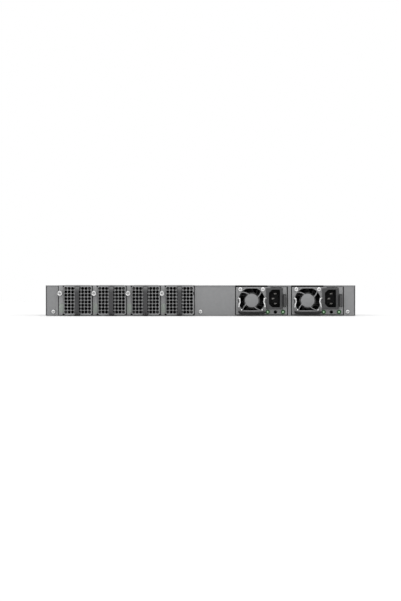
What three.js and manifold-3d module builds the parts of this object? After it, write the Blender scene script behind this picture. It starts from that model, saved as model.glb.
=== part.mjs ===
// A rackmount network switch, one rack unit tall, with hot-swap fan trays and power modules.
// Units are millimetres. +Z is up and -Y is the side with the fan trays and power modules;
// +Y is the side with the ports. The origin is the centre of the underside.
import * as THREE from "three";
import { mergeVertices } from "three/addons/utils/BufferGeometryUtils.js";
import Module from "manifold-3d";

const wasm = await Module();
wasm.setup();

// ---------------------------------------------------------------- driving dimensions
const WIDTH = 442; // body, without rack ears
const HEIGHT = 43.6; // body: one rack unit less its clearance
const DEPTH = 470; // body, face to face
const SHEET = 0.8; // cover and base sheet
const PANEL = 1.2; // front and rear face sheet
const GAP = 0.3; // assembly clearance between sheets
const STEP = 0.2; // keeps two faces of one piece off the same plane
const PAST = 1; // how far a cutting solid reaches past what it cuts

const REAR = -DEPTH / 2;
const FRONT = DEPTH / 2;
const SIDE = WIDTH / 2;
const UNDER_COVER = HEIGHT - SHEET; // underside of the cover
const BASE_SIDE = SIDE - SHEET - 0.7; // side edge of the base
const WALL_SIDE = BASE_SIDE - STEP; // outside of the base's folded side walls
const WALL_TOP = UNDER_COVER - 1.3; // top edge of the folded rear wall
const BEHIND_PANEL = REAR + PANEL;
const THROUGH_REAR = [REAR - PAST, BEHIND_PANEL + PAST];
const INSIDE_Z = [SHEET + GAP, UNDER_COVER - GAP]; // between the base and the cover
const REAR_SCREW = { headR: 3, holeR: 1.8, z: 6, x: { left: -210, centre: 0, right: 210 } };
const EAR_HOLES = { y: [FRONT - 40, FRONT - 18], z: [12, 31], tappedR: 1.6, clearR: 2.1 };

// Fan bays. X is measured from a bay's left boundary.
const TRAYS = 4;
const BAY_PITCH = 48.5;
const BAY_START = -202.7; // left boundary of the first bay
const BAY_END = BAY_START + TRAYS * BAY_PITCH;
const TRAY_GAP = 0.5; // from a bay boundary to the tray's edge
const TRAY_CUTOUT_Z = 40; // the cover is cut away above this over the trays
const STRIP = 8; // width of the plain strip left of each grille
const GRILLE_Z = [0.6, 44];
const GRILLE_OUT = 3; // how far the grille stands out of the face
const HOLE_PITCH = 4.8;
const HOLE_COUNT = 8;
const HOLE_SIDE = 3.1;
const HOLE_X = 10.6; // first hole column
const HOLE_Z = 5.5; // lowest hole row
const FAN_SIZE = 38;
const FAN_DEPTH = 28;
const FAN_X = HOLE_X + (HOLE_PITCH * (HOLE_COUNT - 1)) / 2;
const FAN_Z = HOLE_Z + (HOLE_PITCH * (HOLE_COUNT - 1)) / 2;
const TRAY_DEPTH = 70;
const FAN_BAY_BACK = REAR + 84;
const WALL_SETBACK = 14; // from the face to the bay walls' front edges
const THUMBSCREW = { x: 2.2, z: 32, headR: 3.6, holeR: 1.7 };
const HANDLE = { foot: [1.6, 41.2], reach: 22, thick: 3, half: 3 };

// Power bays. X is measured from a module's centre.
const PSU_HALF = 72.8 / 2;
const PSU_Z = [1.9, 41.3];
const PSU_DEPTH = 185;
const PSU_BACK = REAR + PSU_DEPTH;
const PSU_CENTRES = [87.1, 167];
const PSU_BAY_HALF = 37.75;
const PSU_SHEET = 0.8;
const PSU_FAN = { x: -13.6, z: 21.9, size: 37, boreR: 17.8, bladeR: 16.3 };
const INLET = { x: 18.5, z: 25.3 };
const GASKET = { right: 8.5, depth: 1.5 }; // seat above each fan, cut out of the cover's edge
const LIGHTS_X = [8.9, 30.7];
const LIGHT_Z = 5.6;
const RETAINER = { x: 19.8, r: 2.3 };
const LATCH_X = 33.4;
const BAIL_PIVOT_Z = 25;
const BAIL_HALF = 17.9;

// Ports. X runs from a cage's edge nearest +X towards -X.
const SFP = { start: 190, columns: 12, pitch: 14.25, pocket: 13.6 };
const QSFP = { start: 12, columns: 3, pitch: 19.4, pocket: 18.6 };
const CAGE_WALL = 0.65;
const CAGE_DEPTH = 50;
const CAGE_BACK = 2; // thickness behind the ports
const CAGE_Z = [8, 34];
const MOUTH = FRONT + 0.6; // the cages stand this far out of the panel
const PORT_HEIGHT = 9.6;
const PORT_ROWS = [9.2, 22.4]; // underside of the lower and upper row
const VENTS = { start: -200, count: 19, pitch: 8 }; // intake slots beside the ports
const JACK = { x: [197.4, 213.6], z: [8, 35] };
const RESET = { x: 205.5, z: 38.6, holeR: 1.2 };
const STATUS = { x: 211, z: 38.6, holeR: 1.5 };

// Boards
const BOARD_THICK = 1.6;
const BOARD_TOP = 7.6;
const PSU_BOARD_Z = [6, 7.6];
const PLUG_Z = [7.9, 9.3]; // tongue of a fan tray's plug

// ---------------------------------------------------------------- materials
const finish = (color, roughness, metalness) =>
  new THREE.MeshStandardMaterial({ color, roughness, metalness });
const paintedSteel = finish(0x8f9193, 0.55, 0.4);
const zincSteel = finish(0xc9ccce, 0.3, 1);
const brightSteel = finish(0xe3e5e6, 0.15, 1);
const darkPlastic = finish(0x4c4d4e, 0.55, 0);
const blackPlastic = finish(0x17181a, 0.5, 0);
const boardGreen = finish(0x1d4a33, 0.6, 0);
const aluminium = finish(0xb9bcbf, 0.35, 1);
const lightGreen = finish(0x7ddc8a, 0.3, 0);

// ---------------------------------------------------------------- solids
function solidOf(geometry) {
  const bare = geometry.clone();
  bare.deleteAttribute("normal");
  bare.deleteAttribute("uv");
  const merged = mergeVertices(bare, 1e-4);
  return new wasm.Manifold(
    new wasm.Mesh({
      numProp: 3,
      vertProperties: merged.attributes.position.array,
      triVerts: new Uint32Array(merged.index.array),
    }),
  );
}

function geometryOf(solid) {
  const mesh = solid.getMesh();
  const geometry = new THREE.BufferGeometry();
  geometry.setAttribute("position", new THREE.BufferAttribute(mesh.vertProperties, 3));
  geometry.setIndex(new THREE.BufferAttribute(mesh.triVerts, 1));
  return geometry;
}

const join = (...solids) => solids.reduce((all, one) => all.add(one));
const cut = (solid, ...tools) => tools.reduce((left, tool) => left.subtract(tool), solid);
const about = (centre, half) => [centre - half, centre + half];
const grown = ([low, high], by) => [low - by, high + by];
const moved = ([low, high], by) => [low + by, high + by];
const bothSides = ([low, high]) => [[-high, -low], [low, high]];
const count = (length, make) => Array.from({ length }, (_, n) => make(n));

// A box between two corners.
function block([x0, x1], [y0, y1], [z0, z1]) {
  const box = new THREE.BoxGeometry(x1 - x0, y1 - y0, z1 - z0);
  box.translate((x0 + x1) / 2, (y0 + y1) / 2, (z0 + z1) / 2);
  return solidOf(box);
}

// A cylinder whose axis runs along Y, centred on (x, z).
function rod(radius, [y0, y1], x, z, sides = 16) {
  const cylinder = new THREE.CylinderGeometry(radius, radius, y1 - y0, sides);
  cylinder.translate(x, (y0 + y1) / 2, z);
  return solidOf(cylinder);
}

// An outline in X and Z, given depth along Y.
function plate(points, [y0, y1]) {
  const shape = new THREE.Shape(points.map(([x, z]) => new THREE.Vector2(x, z)));
  const body = new THREE.ExtrudeGeometry(shape, { depth: y1 - y0, bevelEnabled: false });
  body.rotateX(Math.PI / 2);
  body.translate(0, y1, 0);
  return solidOf(body);
}

// An outline in Y and Z, given width along X.
function profile(points, [x0, x1]) {
  const shape = new THREE.Shape(points.map(([y, z]) => new THREE.Vector2(y, z)));
  const body = new THREE.ExtrudeGeometry(shape, { depth: x1 - x0, bevelEnabled: false });
  body.rotateY(Math.PI / 2);
  body.rotateX(Math.PI / 2);
  body.translate(x0, 0, 0);
  return solidOf(body);
}

const model = new THREE.Group();

function piece(name, solid, material, group = model) {
  const mesh = new THREE.Mesh(geometryOf(solid), material);
  mesh.name = name;
  group.add(mesh);
  return mesh;
}

// ---------------------------------------------------------------- chassis
const bays = [
  [BAY_START - TRAY_GAP, BAY_END + TRAY_GAP],
  ...PSU_CENTRES.map((x) => about(x, PSU_BAY_HALF)),
];
// The stretches of rear wall beside and between the bays.
const edges = [-WALL_SIDE, ...bays.flat(), WALL_SIDE];
const uprights = count(edges.length / 2, (n) => [edges[2 * n], edges[2 * n + 1]]);

// Holes along X through both sides, where the rack ears are screwed on.
function earHoles(radius) {
  const length = 4;
  return EAR_HOLES.y.flatMap((y) =>
    EAR_HOLES.z.flatMap((z) =>
      [-1, 1].map((side) => {
        const hole = new THREE.CylinderGeometry(radius, radius, length, 8);
        hole.rotateZ(Math.PI / 2);
        hole.translate(side * (SIDE - 1), y, z);
        return solidOf(hole);
      }),
    ),
  );
}

function basePan() {
  const inside = [BEHIND_PANEL + GAP, FRONT - PANEL - GAP];
  const floor = block([-BASE_SIDE, BASE_SIDE], [REAR, FRONT], [0, SHEET]);
  const sides = bothSides([WALL_SIDE - SHEET, WALL_SIDE]).map((x) =>
    block(x, inside, [SHEET / 2, UNDER_COVER - GAP]),
  );
  const rear = uprights.map((x) => block(x, [REAR, BEHIND_PANEL], [0, WALL_TOP]));
  const screwHoles = Object.values(REAR_SCREW.x).map((x) =>
    rod(REAR_SCREW.holeR, THROUGH_REAR, x, REAR_SCREW.z, 12),
  );
  return cut(join(floor, ...sides, ...rear), ...screwHoles, ...earHoles(EAR_HOLES.tappedR));
}

function topCover() {
  const intoSheet = UNDER_COVER + SHEET / 2;
  const overInlet = [8.7, PSU_BAY_HALF + GAP];
  const overInletZ = [42, HEIGHT - SHEET / 2];
  const sheet = block([-SIDE, SIDE], [REAR, FRONT], [UNDER_COVER, HEIGHT]);
  const skirts = bothSides([SIDE - SHEET, SIDE]).map((x) =>
    block(x, [REAR + STEP, FRONT - STEP], [GAP, intoSheet]),
  );
  const lips = uprights.map((x) =>
    block(grown(x, STEP), [REAR, BEHIND_PANEL], [WALL_TOP + GAP, intoSheet]),
  );
  const inletLips = PSU_CENTRES.map((x) =>
    block(moved(overInlet, x), [REAR, BEHIND_PANEL], overInletZ),
  );
  const overTrays = block(
    bays[0],
    [REAR - PAST, BEHIND_PANEL + GAP],
    [TRAY_CUTOUT_Z, HEIGHT + PAST],
  );
  const gasketSeats = PSU_CENTRES.map((x) =>
    block(
      [x - PSU_BAY_HALF + 2 * STEP, x + GASKET.right],
      [REAR - PAST, REAR + GASKET.depth],
      [UNDER_COVER - PAST, HEIGHT + PAST],
    ),
  );
  const folded = join(sheet, ...skirts, ...lips, ...inletLips);
  return cut(folded, overTrays, ...gasketSeats, ...earHoles(EAR_HOLES.clearR));
}

// Walls between the fan trays, each with a turned tab that takes a thumbscrew, on a back plate.
function fanBayFrame() {
  const half = 0.4; // of a wall's thickness
  const thick = 1;
  const tabZ = about(THUMBSCREW.z, 4.5);
  const tabEnd = 5.6;
  const window = { x: [8, 45], z: [12, 40] }; // for the air
  const socket = { x: [19, 36], z: [3.2, 11] }; // for the tray's plug
  const face = BEHIND_PANEL + GAP;
  const backY = [FAN_BAY_BACK - thick, FAN_BAY_BACK];
  const walls = count(TRAYS + 1, (n) =>
    block(about(BAY_START + n * BAY_PITCH, half), [face + WALL_SETBACK, FAN_BAY_BACK], INSIDE_Z),
  );
  let frame = join(block(grown([BAY_START, BAY_END], half), backY, INSIDE_Z), ...walls);
  for (let n = 0; n < TRAYS; n++) {
    const x = BAY_START + n * BAY_PITCH;
    const arm = block(about(x, half), [face, face + WALL_SETBACK + thick], tabZ);
    const tab = block([x - half, x + tabEnd], [face, face + thick], tabZ);
    const screwHole = rod(
      THUMBSCREW.holeR,
      [face - PAST, face + thick + PAST],
      x + THUMBSCREW.x,
      THUMBSCREW.z,
      12,
    );
    const holes = [window, socket].map((hole) =>
      block(moved(hole.x, x), grown(backY, PAST), hole.z),
    );
    frame = cut(join(frame, arm, tab), screwHole, ...holes);
  }
  return frame;
}

// Walls beside the power modules, on a back plate with a window for each module's edge connector.
function powerBayFrame() {
  const thick = 0.8;
  const outer = [PSU_CENTRES[0] - PSU_BAY_HALF - GAP, PSU_CENTRES[1] + PSU_BAY_HALF + GAP];
  const middle = (PSU_CENTRES[0] + PSU_CENTRES[1]) / 2;
  const connector = { half: 28, z: [4, 12] };
  const window = { half: 30, z: [16, 40] }; // for the air
  const back = PSU_BACK + 2.5;
  const y = [BEHIND_PANEL + GAP + WALL_SETBACK, back];
  const backY = [back - 1, back];
  const sheets = [
    block([outer[0] - thick, outer[0]], y, INSIDE_Z),
    block(about(middle, thick / 2), y, INSIDE_Z),
    block([outer[1], outer[1] + thick], y, INSIDE_Z),
    block(grown(outer, thick), backY, INSIDE_Z),
  ];
  const holes = PSU_CENTRES.flatMap((x) =>
    [connector, window].map((hole) => block(about(x, hole.half), grown(backY, PAST), hole.z)),
  );
  return cut(join(...sheets), ...holes);
}

// A pan-head screw with a cross recess. Its head stands on the face at y = 0.
function panScrew(radius) {
  const headOut = 1.6;
  const recess = { half: 1.8, slotHalf: 0.4, y: [-2, -0.9] };
  const head = rod(radius, [-headOut, -0.05], 0, 0, 12);
  const shank = rod(1.4, [-0.1, 5], 0, 0, 8);
  const long = about(0, recess.half);
  const slot = about(0, recess.slotHalf);
  return cut(join(head, shank), block(long, recess.y, slot), block(slot, recess.y, long));
}

piece("base_pan", basePan(), paintedSteel);
piece("top_cover", topCover(), paintedSteel);
piece("fan_bay_frame", fanBayFrame(), zincSteel);
piece("power_bay_frame", powerBayFrame(), zincSteel);
for (const [place, x] of Object.entries(REAR_SCREW.x)) {
  const screw = piece("rear_screw_" + place, panScrew(REAR_SCREW.headR), zincSteel);
  screw.position.set(x, REAR, REAR_SCREW.z);
}

// ---------------------------------------------------------------- fans
// A fan frame with a round bore, and a motor mount held by four struts. The axis is the local Y axis.
function fanFrame(size, boreR) {
  const strutY = [0.6, 2.6];
  const motor = { r: 8.4, y: [0.6, 3.4] };
  const across = about(0, boreR + 0.5);
  const thick = about(0, 0.7);
  const shell = cut(
    block(about(0, size / 2), [0, FAN_DEPTH], about(0, size / 2)),
    rod(boreR, grown([0, FAN_DEPTH], PAST), 0, 0, 24),
  );
  const struts = [block(across, strutY, thick), block(thick, strutY, across)];
  return join(shell, ...struts, rod(motor.r, motor.y, 0, 0, 16));
}

// A hub with pitched blades.
function fanRotor(bladeR) {
  const hub = { r: 8.6, y: [4.2, FAN_DEPTH - 1.4] };
  const blades = 7;
  const pitch = THREE.MathUtils.degToRad(32);
  const rootR = hub.r - 1; // the blades start inside the hub
  const chord = FAN_DEPTH - hub.y[0] - 4;
  const solids = count(blades, (n) => {
    const blade = new THREE.BoxGeometry(bladeR - rootR, 1, chord);
    blade.rotateX(Math.PI / 2 + pitch);
    blade.translate((bladeR + rootR) / 2, (hub.y[0] + hub.y[1]) / 2, 0);
    blade.rotateY((n * 2 * Math.PI) / blades);
    return solidOf(blade);
  });
  return join(rod(hub.r, hub.y, 0, 0, 14), ...solids);
}

// ---------------------------------------------------------------- fan trays
// The plain strip beside the grille, its right edge turned back behind the grille.
function trayStrip() {
  const z = [1.3, 43];
  const lapZ = [4, 40];
  const lap = 1.2;
  const cornerIn = 1.6;
  return plate(
    [
      [TRAY_GAP, z[0]],
      [STRIP - cornerIn, z[0]],
      [STRIP + lap, lapZ[0]],
      [STRIP + lap, lapZ[1]],
      [STRIP - cornerIn, z[1]],
      [TRAY_GAP, z[1]],
    ],
    [REAR, BEHIND_PANEL],
  );
}

// The grille: a box with cut corners, open at the back, with square holes in its face.
function trayGrille() {
  const corner = 2.4;
  const right = BAY_PITCH - TRAY_GAP;
  const [bottom, top] = GRILLE_Z;
  const out = REAR - GRILLE_OUT;
  const outline = (inset) => [
    [STRIP + corner, bottom + inset],
    [right - corner, bottom + inset],
    [right - inset, bottom + corner],
    [right - inset, top - corner],
    [right - corner, top - inset],
    [STRIP + corner, top - inset],
    [STRIP + inset, top - corner],
    [STRIP + inset, bottom + corner],
  ];
  const shell = cut(
    plate(outline(0), [out, BEHIND_PANEL]),
    plate(outline(PANEL), [out + PANEL, BEHIND_PANEL + PAST]),
  );
  const throughFace = [out - PAST, out + PANEL + STEP];
  const holes = count(HOLE_COUNT * HOLE_COUNT, (n) => {
    const x = HOLE_X + (n % HOLE_COUNT) * HOLE_PITCH;
    const z = HOLE_Z + Math.floor(n / HOLE_COUNT) * HOLE_PITCH;
    return block(about(x, HOLE_SIDE / 2), throughFace, about(z, HOLE_SIDE / 2));
  });
  return cut(shell, ...holes);
}

function trayBody() {
  const floorZ = [1.3, 2];
  const sideX = [6.6, 7.2];
  const sideTop = 41.6;
  const floorEnd = 47.6;
  const outToBack = [REAR - GRILLE_OUT - PAST, BEHIND_PANEL + PAST];
  // The next tray's thumbscrew head passes this shallow relief in the right edge.
  const relief = rod(
    THUMBSCREW.headR + 0.4,
    outToBack,
    BAY_PITCH + THUMBSCREW.x,
    THUMBSCREW.z,
    16,
  );
  const screwHole = rod(THUMBSCREW.holeR, THROUGH_REAR, THUMBSCREW.x, THUMBSCREW.z, 12);
  const overFloor = block([0, BAY_PITCH], [REAR - GAP, BEHIND_PANEL + PAST], [0, SHEET + GAP]);
  const y = [BEHIND_PANEL - 0.4, REAR + TRAY_DEPTH];
  const floor = block([sideX[0], floorEnd], y, floorZ);
  const side = block(sideX, y, [floorZ[0], sideTop]);
  const faces = cut(join(trayStrip(), trayGrille()), relief, screwHole, overFloor);
  return join(faces, floor, side);
}

// A loop handle: the outline runs down the outside and back up the inside.
function trayHandle() {
  const { reach, thick, half } = HANDLE;
  const [low, high] = HANDLE.foot;
  const foot = REAR - GRILLE_OUT - 0.1;
  const out = foot - reach;
  const bend = 6; // the outline's corners are this far in from its outermost line
  const shoulder = [low + 1.8, high - 2.2];
  const straight = [9, 34];
  const innerStraight = [straight[0] + 1.4, straight[1] - 1.4];
  return profile(
    [
      [foot, high],
      [out + bend, shoulder[1]],
      [out, straight[1]],
      [out, straight[0]],
      [out + bend, shoulder[0]],
      [foot, low],
      [foot, low + thick],
      [out + bend + 1, shoulder[0] - STEP + thick],
      [out + thick, innerStraight[0]],
      [out + thick, innerStraight[1]],
      [out + bend + 1, shoulder[1] - thick],
      [foot, high - thick],
    ],
    about(FAN_X, half),
  );
}

// A captive thumbscrew along the local Y axis, with y = 0 at the face.
function thumbscrew() {
  const knobY = [-8.2, -1.2];
  const slotHalf = 0.45;
  const knob = rod(THUMBSCREW.headR, knobY, 0, 0, 16);
  const collar = rod(2.6, [knobY[1] - 0.1, -STEP], 0, 0, 10);
  const shank = rod(1.35, [-GAP, 8], 0, 0, 8);
  const slot = block(about(0, THUMBSCREW.headR + 0.4), [-9, -7], about(0, slotHalf));
  return cut(join(knob, collar, shank), slot);
}

// A tray's plug: a body on the tray's floor with a tongue that enters the board's socket.
function trayPlug() {
  return join(
    block([20, 34], [REAR + 57, REAR + 80], [2.3, 10.4]),
    block([22, 33], [REAR + 79, REAR + 89], PLUG_Z),
  );
}

const trayFan = { boreR: 18.2, bladeR: 16.7 };
const trayParts = {
  fan_tray: [trayBody(), paintedSteel, [0, 0, 0]],
  tray_handle: [trayHandle(), darkPlastic, [0, 0, 0]],
  tray_plug: [trayPlug(), blackPlastic, [0, 0, 0]],
  thumbscrew: [thumbscrew(), zincSteel, [THUMBSCREW.x, REAR, THUMBSCREW.z]],
  fan_frame: [fanFrame(FAN_SIZE, trayFan.boreR), blackPlastic, [FAN_X, BEHIND_PANEL + 0.4, FAN_Z]],
  fan_rotor: [fanRotor(trayFan.bladeR), blackPlastic, [FAN_X, BEHIND_PANEL + 0.4, FAN_Z]],
};

// Adds one slide-out unit's parts, each numbered, in a group at x.
function addUnit(parts, x, number) {
  const unit = new THREE.Group();
  unit.position.x = x;
  model.add(unit);
  for (const [name, [solid, material, place]] of Object.entries(parts)) {
    piece(`${name}_${number}`, solid, material, unit).position.set(...place);
  }
}

for (let n = 0; n < TRAYS; n++) {
  addUnit(trayParts, BAY_START + n * BAY_PITCH, n + 1);
}

// ---------------------------------------------------------------- power modules
// One of the four openings between the fan guard's spiral arms, about the fan's axis.
function guardOpening(turn) {
  const armHalf = 0.65;
  const discR = 9.3;
  const openR = 17.7;
  const steps = 5;
  const armStart = 21.5; // degrees, at 10 mm from the axis
  const armTwist = 24.5 / 9; // degrees per millimetre further out
  const armAngle = (r) => THREE.MathUtils.degToRad(armStart + armTwist * (r - 10));
  const at = (r, angle) => [r * Math.cos(angle), r * Math.sin(angle)];
  const afterArm = (r) => armAngle(r) + armHalf / r;
  const beforeNextArm = (r) => armAngle(r) - armHalf / r + Math.PI / 2;
  const along = (a, b, n) => a + ((b - a) * n) / steps;
  const points = [];
  for (let n = 0; n < steps; n++) {
    const r = along(discR, openR, n);
    points.push(at(r, afterArm(r)));
  }
  for (let n = 0; n < steps; n++) {
    points.push(at(openR, along(afterArm(openR), beforeNextArm(openR), n)));
  }
  for (let n = 0; n < steps; n++) {
    const r = along(openR, discR, n);
    points.push(at(r, beforeNextArm(r)));
  }
  for (let n = 0; n < steps; n++) {
    points.push(at(discR, along(beforeNextArm(discR), afterArm(discR), n)));
  }
  const spin = new THREE.Matrix4().makeRotationY(-turn);
  return plate(points, THROUGH_REAR).transform(spin.elements);
}

// The fan guard's openings, which stop at a flat edge below the fan and at one above it.
function guardOpenings() {
  const flats = [PSU_FAN.z - 13.9, PSU_FAN.z + 17];
  const round = count(4, (n) => guardOpening((n * Math.PI) / 2));
  const placed = round.map((hole) => hole.translate([PSU_FAN.x, 0, PSU_FAN.z]));
  const between = block(about(PSU_FAN.x, PSU_FAN.size / 2), grown(THROUGH_REAR, PAST), flats);
  return placed.map((hole) => hole.intersect(between));
}

function psuCase() {
  const [bottom, top] = PSU_Z;
  const wallTop = top - 1.2;
  const face = block(about(0, PSU_HALF), [REAR, BEHIND_PANEL], PSU_Z);
  const y = [BEHIND_PANEL - 0.4, PSU_BACK];
  const backY = [PSU_BACK - PSU_SHEET, PSU_BACK];
  const floor = block(about(0, PSU_HALF), y, [bottom, bottom + PSU_SHEET]);
  const walls = bothSides([PSU_HALF - PSU_SHEET, PSU_HALF]).map((x) => block(x, y, [bottom, wallTop]));
  const edgeConnector = block([-26, 26], grown(backY, PAST), [5, 8.6]);
  const airWindow = block([-32, 8], grown(backY, PAST), [14, 37]);
  const back = block(about(0, PSU_HALF), backY, [bottom, top - 1]);
  const inlet = block(about(INLET.x, 9.6), THROUGH_REAR, about(INLET.z, 13));
  const latch = block([LATCH_X - 3.2, LATCH_X + 2.1], THROUGH_REAR, [13, 38.4]);
  const topSlot = block([12.8, 28.8], THROUGH_REAR, [40.1, top + PAST]);
  const lights = LIGHTS_X.map((x) => rod(1.7, THROUGH_REAR, x, LIGHT_Z, 12));
  const retainer = rod(RETAINER.r, THROUGH_REAR, RETAINER.x, LIGHT_Z, 12);
  const catchHole = block([PSU_HALF - 1.2, PSU_HALF + PAST], [REAR + 14, REAR + 20], [16, 26]);
  const front = cut(face, ...guardOpenings(), inlet, latch, topSlot);
  const rear = cut(back, edgeConnector, airWindow);
  return cut(join(front, floor, rear, ...walls), ...lights, retainer, catchHole);
}

function psuLid() {
  const thick = 0.6;
  return block(about(0, PSU_HALF - 1.1), [BEHIND_PANEL + GAP, PSU_BACK], [PSU_Z[1] - thick, PSU_Z[1]]);
}

// Mains inlet with two bevelled corners, three blades in a recess and a flange on the face.
function psuInlet() {
  const outline = (x, z, bevel) => [
    [-x, -z + bevel],
    [-x + bevel, -z],
    [x, -z],
    [x, z],
    [-x + bevel, z],
    [-x, z - bevel],
  ];
  const blade = { halfWidth: 2, half: 1, y: [REAR + 4.2, REAR + 17] };
  const bladeSpots = [
    [1.3, 7],
    [-2.2, 0],
    [1.3, -7],
  ];
  const flange = block(about(0, 11.8), [REAR - 1.4, REAR - GAP], about(0, 14.1));
  const body = plate(outline(9.3, 12.7, 4.6), [REAR - 0.6, REAR + 22]);
  const recess = plate(outline(7.9, 12.1, 4.4), [REAR - 3, REAR + 16]);
  const blades = bladeSpots.map(([x, z]) =>
    block(about(x, blade.halfWidth), blade.y, about(z, blade.half)),
  );
  return join(cut(join(flange, body), recess), ...blades);
}

// The bail's two bright arms and the rod hidden in its grip.
function bailFrame() {
  const y = [REAR - 2.7, REAR - 0.5];
  const rodEnd = 3.2; // height of the arms' lower ends
  const shoulder = BAIL_PIVOT_Z - 9;
  const arms = [-1, 1].map((side) => {
    const outline = [
      [side * (BAIL_HALF - 3.4), BAIL_PIVOT_Z + 1],
      [side * (BAIL_HALF + 0.8), BAIL_PIVOT_Z + 1],
      [side * (BAIL_HALF + 1.4), BAIL_PIVOT_Z - 3],
      [side * (BAIL_HALF + 2.3), shoulder],
      [side * (BAIL_HALF + 2.3), rodEnd],
      [side * (BAIL_HALF + 0.6), rodEnd],
      [side * (BAIL_HALF + 0.6), shoulder],
      [side * (BAIL_HALF - 0.6), BAIL_PIVOT_Z - 2.4],
    ];
    return plate(side < 0 ? outline.reverse() : outline, y);
  });
  return join(...arms, block(about(0, BAIL_HALF + 1), [REAR - 2.3, REAR - 0.9], [3.9, 5.3]));
}

function bailGrip() {
  const half = BAIL_HALF + GAP;
  const grip = { r: 2.6, y: REAR - 3, z: 4.6 };
  const shell = new THREE.CylinderGeometry(grip.r, grip.r, 2 * half, 12);
  shell.rotateZ(Math.PI / 2);
  shell.translate(0, grip.y, grip.z);
  const past = about(0, half + PAST);
  const rodSlot = block(past, [REAR - 2.5, REAR + PAST], [3.7, 5.5]);
  const flatBack = block(past, [REAR - 0.5, REAR + 3], [0, 10]);
  return cut(solidOf(shell), rodSlot, flatBack);
}

// A spring arm along the side wall, with a thumb pad outside the face and a catch near its middle.
function psuLatch() {
  const z = [14.4, 28.6];
  const arm = block([PSU_HALF - 2, PSU_HALF - 1.3], [REAR - 5, REAR + 40], z);
  const pad = block([LATCH_X - 2.2, LATCH_X + 1.2], [REAR - 7, REAR - 0.4], grown(z, 1));
  const bridge = block([LATCH_X - 1, PSU_HALF - 1.6], [REAR - 4, REAR - 1], z);
  const hook = block([PSU_HALF - 1.7, PSU_HALF + 0.5], [REAR + 15, REAR + 19], [17, 25]);
  return join(arm, pad, bridge, hook);
}

function psuBoard() {
  const inside = [-PSU_HALF + 2.4, PSU_HALF - 3];
  const board = block(inside, [REAR + 34, PSU_BACK - 3], PSU_BOARD_Z);
  const finger = block([-25, 25], [PSU_BACK - 4, PSU_BACK + 9], PSU_BOARD_Z);
  return join(board, finger);
}

// A light pipe along the local Y axis, with y = 0 at the face and a collar behind the face.
function lightPipe() {
  return join(rod(1.5, [-0.6, 9], 0, 0, 12), rod(2.3, [1.6, 4], 0, 0, 12));
}

const psuFanPlace = [PSU_FAN.x, BEHIND_PANEL + 0.4, PSU_FAN.z];
const psuParts = {
  psu_case: [psuCase(), paintedSteel, [0, 0, 0]],
  psu_lid: [psuLid(), paintedSteel, [0, 0, 0]],
  psu_inlet: [psuInlet(), blackPlastic, [INLET.x, 0, INLET.z]],
  psu_bail: [bailFrame(), brightSteel, [PSU_FAN.x, 0, 0]],
  psu_grip: [bailGrip(), darkPlastic, [PSU_FAN.x, 0, 0]],
  psu_latch: [psuLatch(), darkPlastic, [0, 0, 0]],
  psu_board: [psuBoard(), boardGreen, [0, 0, 0]],
  psu_fan: [fanFrame(PSU_FAN.size, PSU_FAN.boreR), blackPlastic, psuFanPlace],
  psu_rotor: [fanRotor(PSU_FAN.bladeR), blackPlastic, psuFanPlace],
  psu_light: [lightPipe(), lightGreen, [LIGHTS_X[0], REAR, LIGHT_Z]],
};

PSU_CENTRES.forEach((x, n) => addUnit(psuParts, x, n + 1));

// ---------------------------------------------------------------- ports
const cageX = ({ start, columns, pitch }) => [start - columns * pitch - CAGE_WALL, start];

// A block of two rows of ports, open towards +Y.
function cageBlock(cage) {
  const shell = block(cageX(cage), [MOUTH - CAGE_DEPTH, MOUTH], CAGE_Z);
  const hollowY = [MOUTH - CAGE_DEPTH + CAGE_BACK, MOUTH + PAST];
  const hollows = count(cage.columns, (n) => {
    const x = about(cage.start - CAGE_WALL / 2 - (n + 0.5) * cage.pitch, cage.pocket / 2);
    return PORT_ROWS.map((z) => block(x, hollowY, [z, z + PORT_HEIGHT]));
  });
  return cut(shell, ...hollows.flat());
}

function frontPanel() {
  const y = [FRONT - PANEL, FRONT];
  const through = grown(y, PAST);
  const around = (x, z) => block(grown(x, GAP), through, grown(z, GAP));
  const vents = count(VENTS.count, (n) => {
    const x = VENTS.start + n * VENTS.pitch;
    return block([x, x + VENTS.pitch / 2], through, CAGE_Z);
  });
  return cut(
    block(about(0, BASE_SIDE), y, INSIDE_Z),
    around(cageX(SFP), CAGE_Z),
    around(cageX(QSFP), CAGE_Z),
    around(JACK.x, JACK.z),
    rod(RESET.holeR, through, RESET.x, RESET.z, 12),
    rod(STATUS.holeR, through, STATUS.x, STATUS.z, 12),
    ...vents,
  );
}

// Two stacked network jacks, open towards +Y.
function consoleJack() {
  const middle = (JACK.x[0] + JACK.x[1]) / 2;
  const y = [FRONT - 14, FRONT + 2];
  const floors = [9.6, 22.8];
  const plug = { half: 5.9, height: 8.4 };
  const key = { half: 3, z: [8, 10.2] };
  const cavities = floors.flatMap((z) => [
    block(about(middle, plug.half), y, [z, z + plug.height]),
    block(about(middle, key.half), y, moved(key.z, z)),
  ]);
  return cut(block(JACK.x, [FRONT - 26, FRONT + 0.4], JACK.z), ...cavities);
}

function resetButton() {
  return join(
    rod(0.9, [FRONT - 5, FRONT - 0.6], RESET.x, RESET.z, 10),
    rod(1.8, [FRONT - 7, FRONT - 4.5], RESET.x, RESET.z, 10),
  );
}

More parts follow.
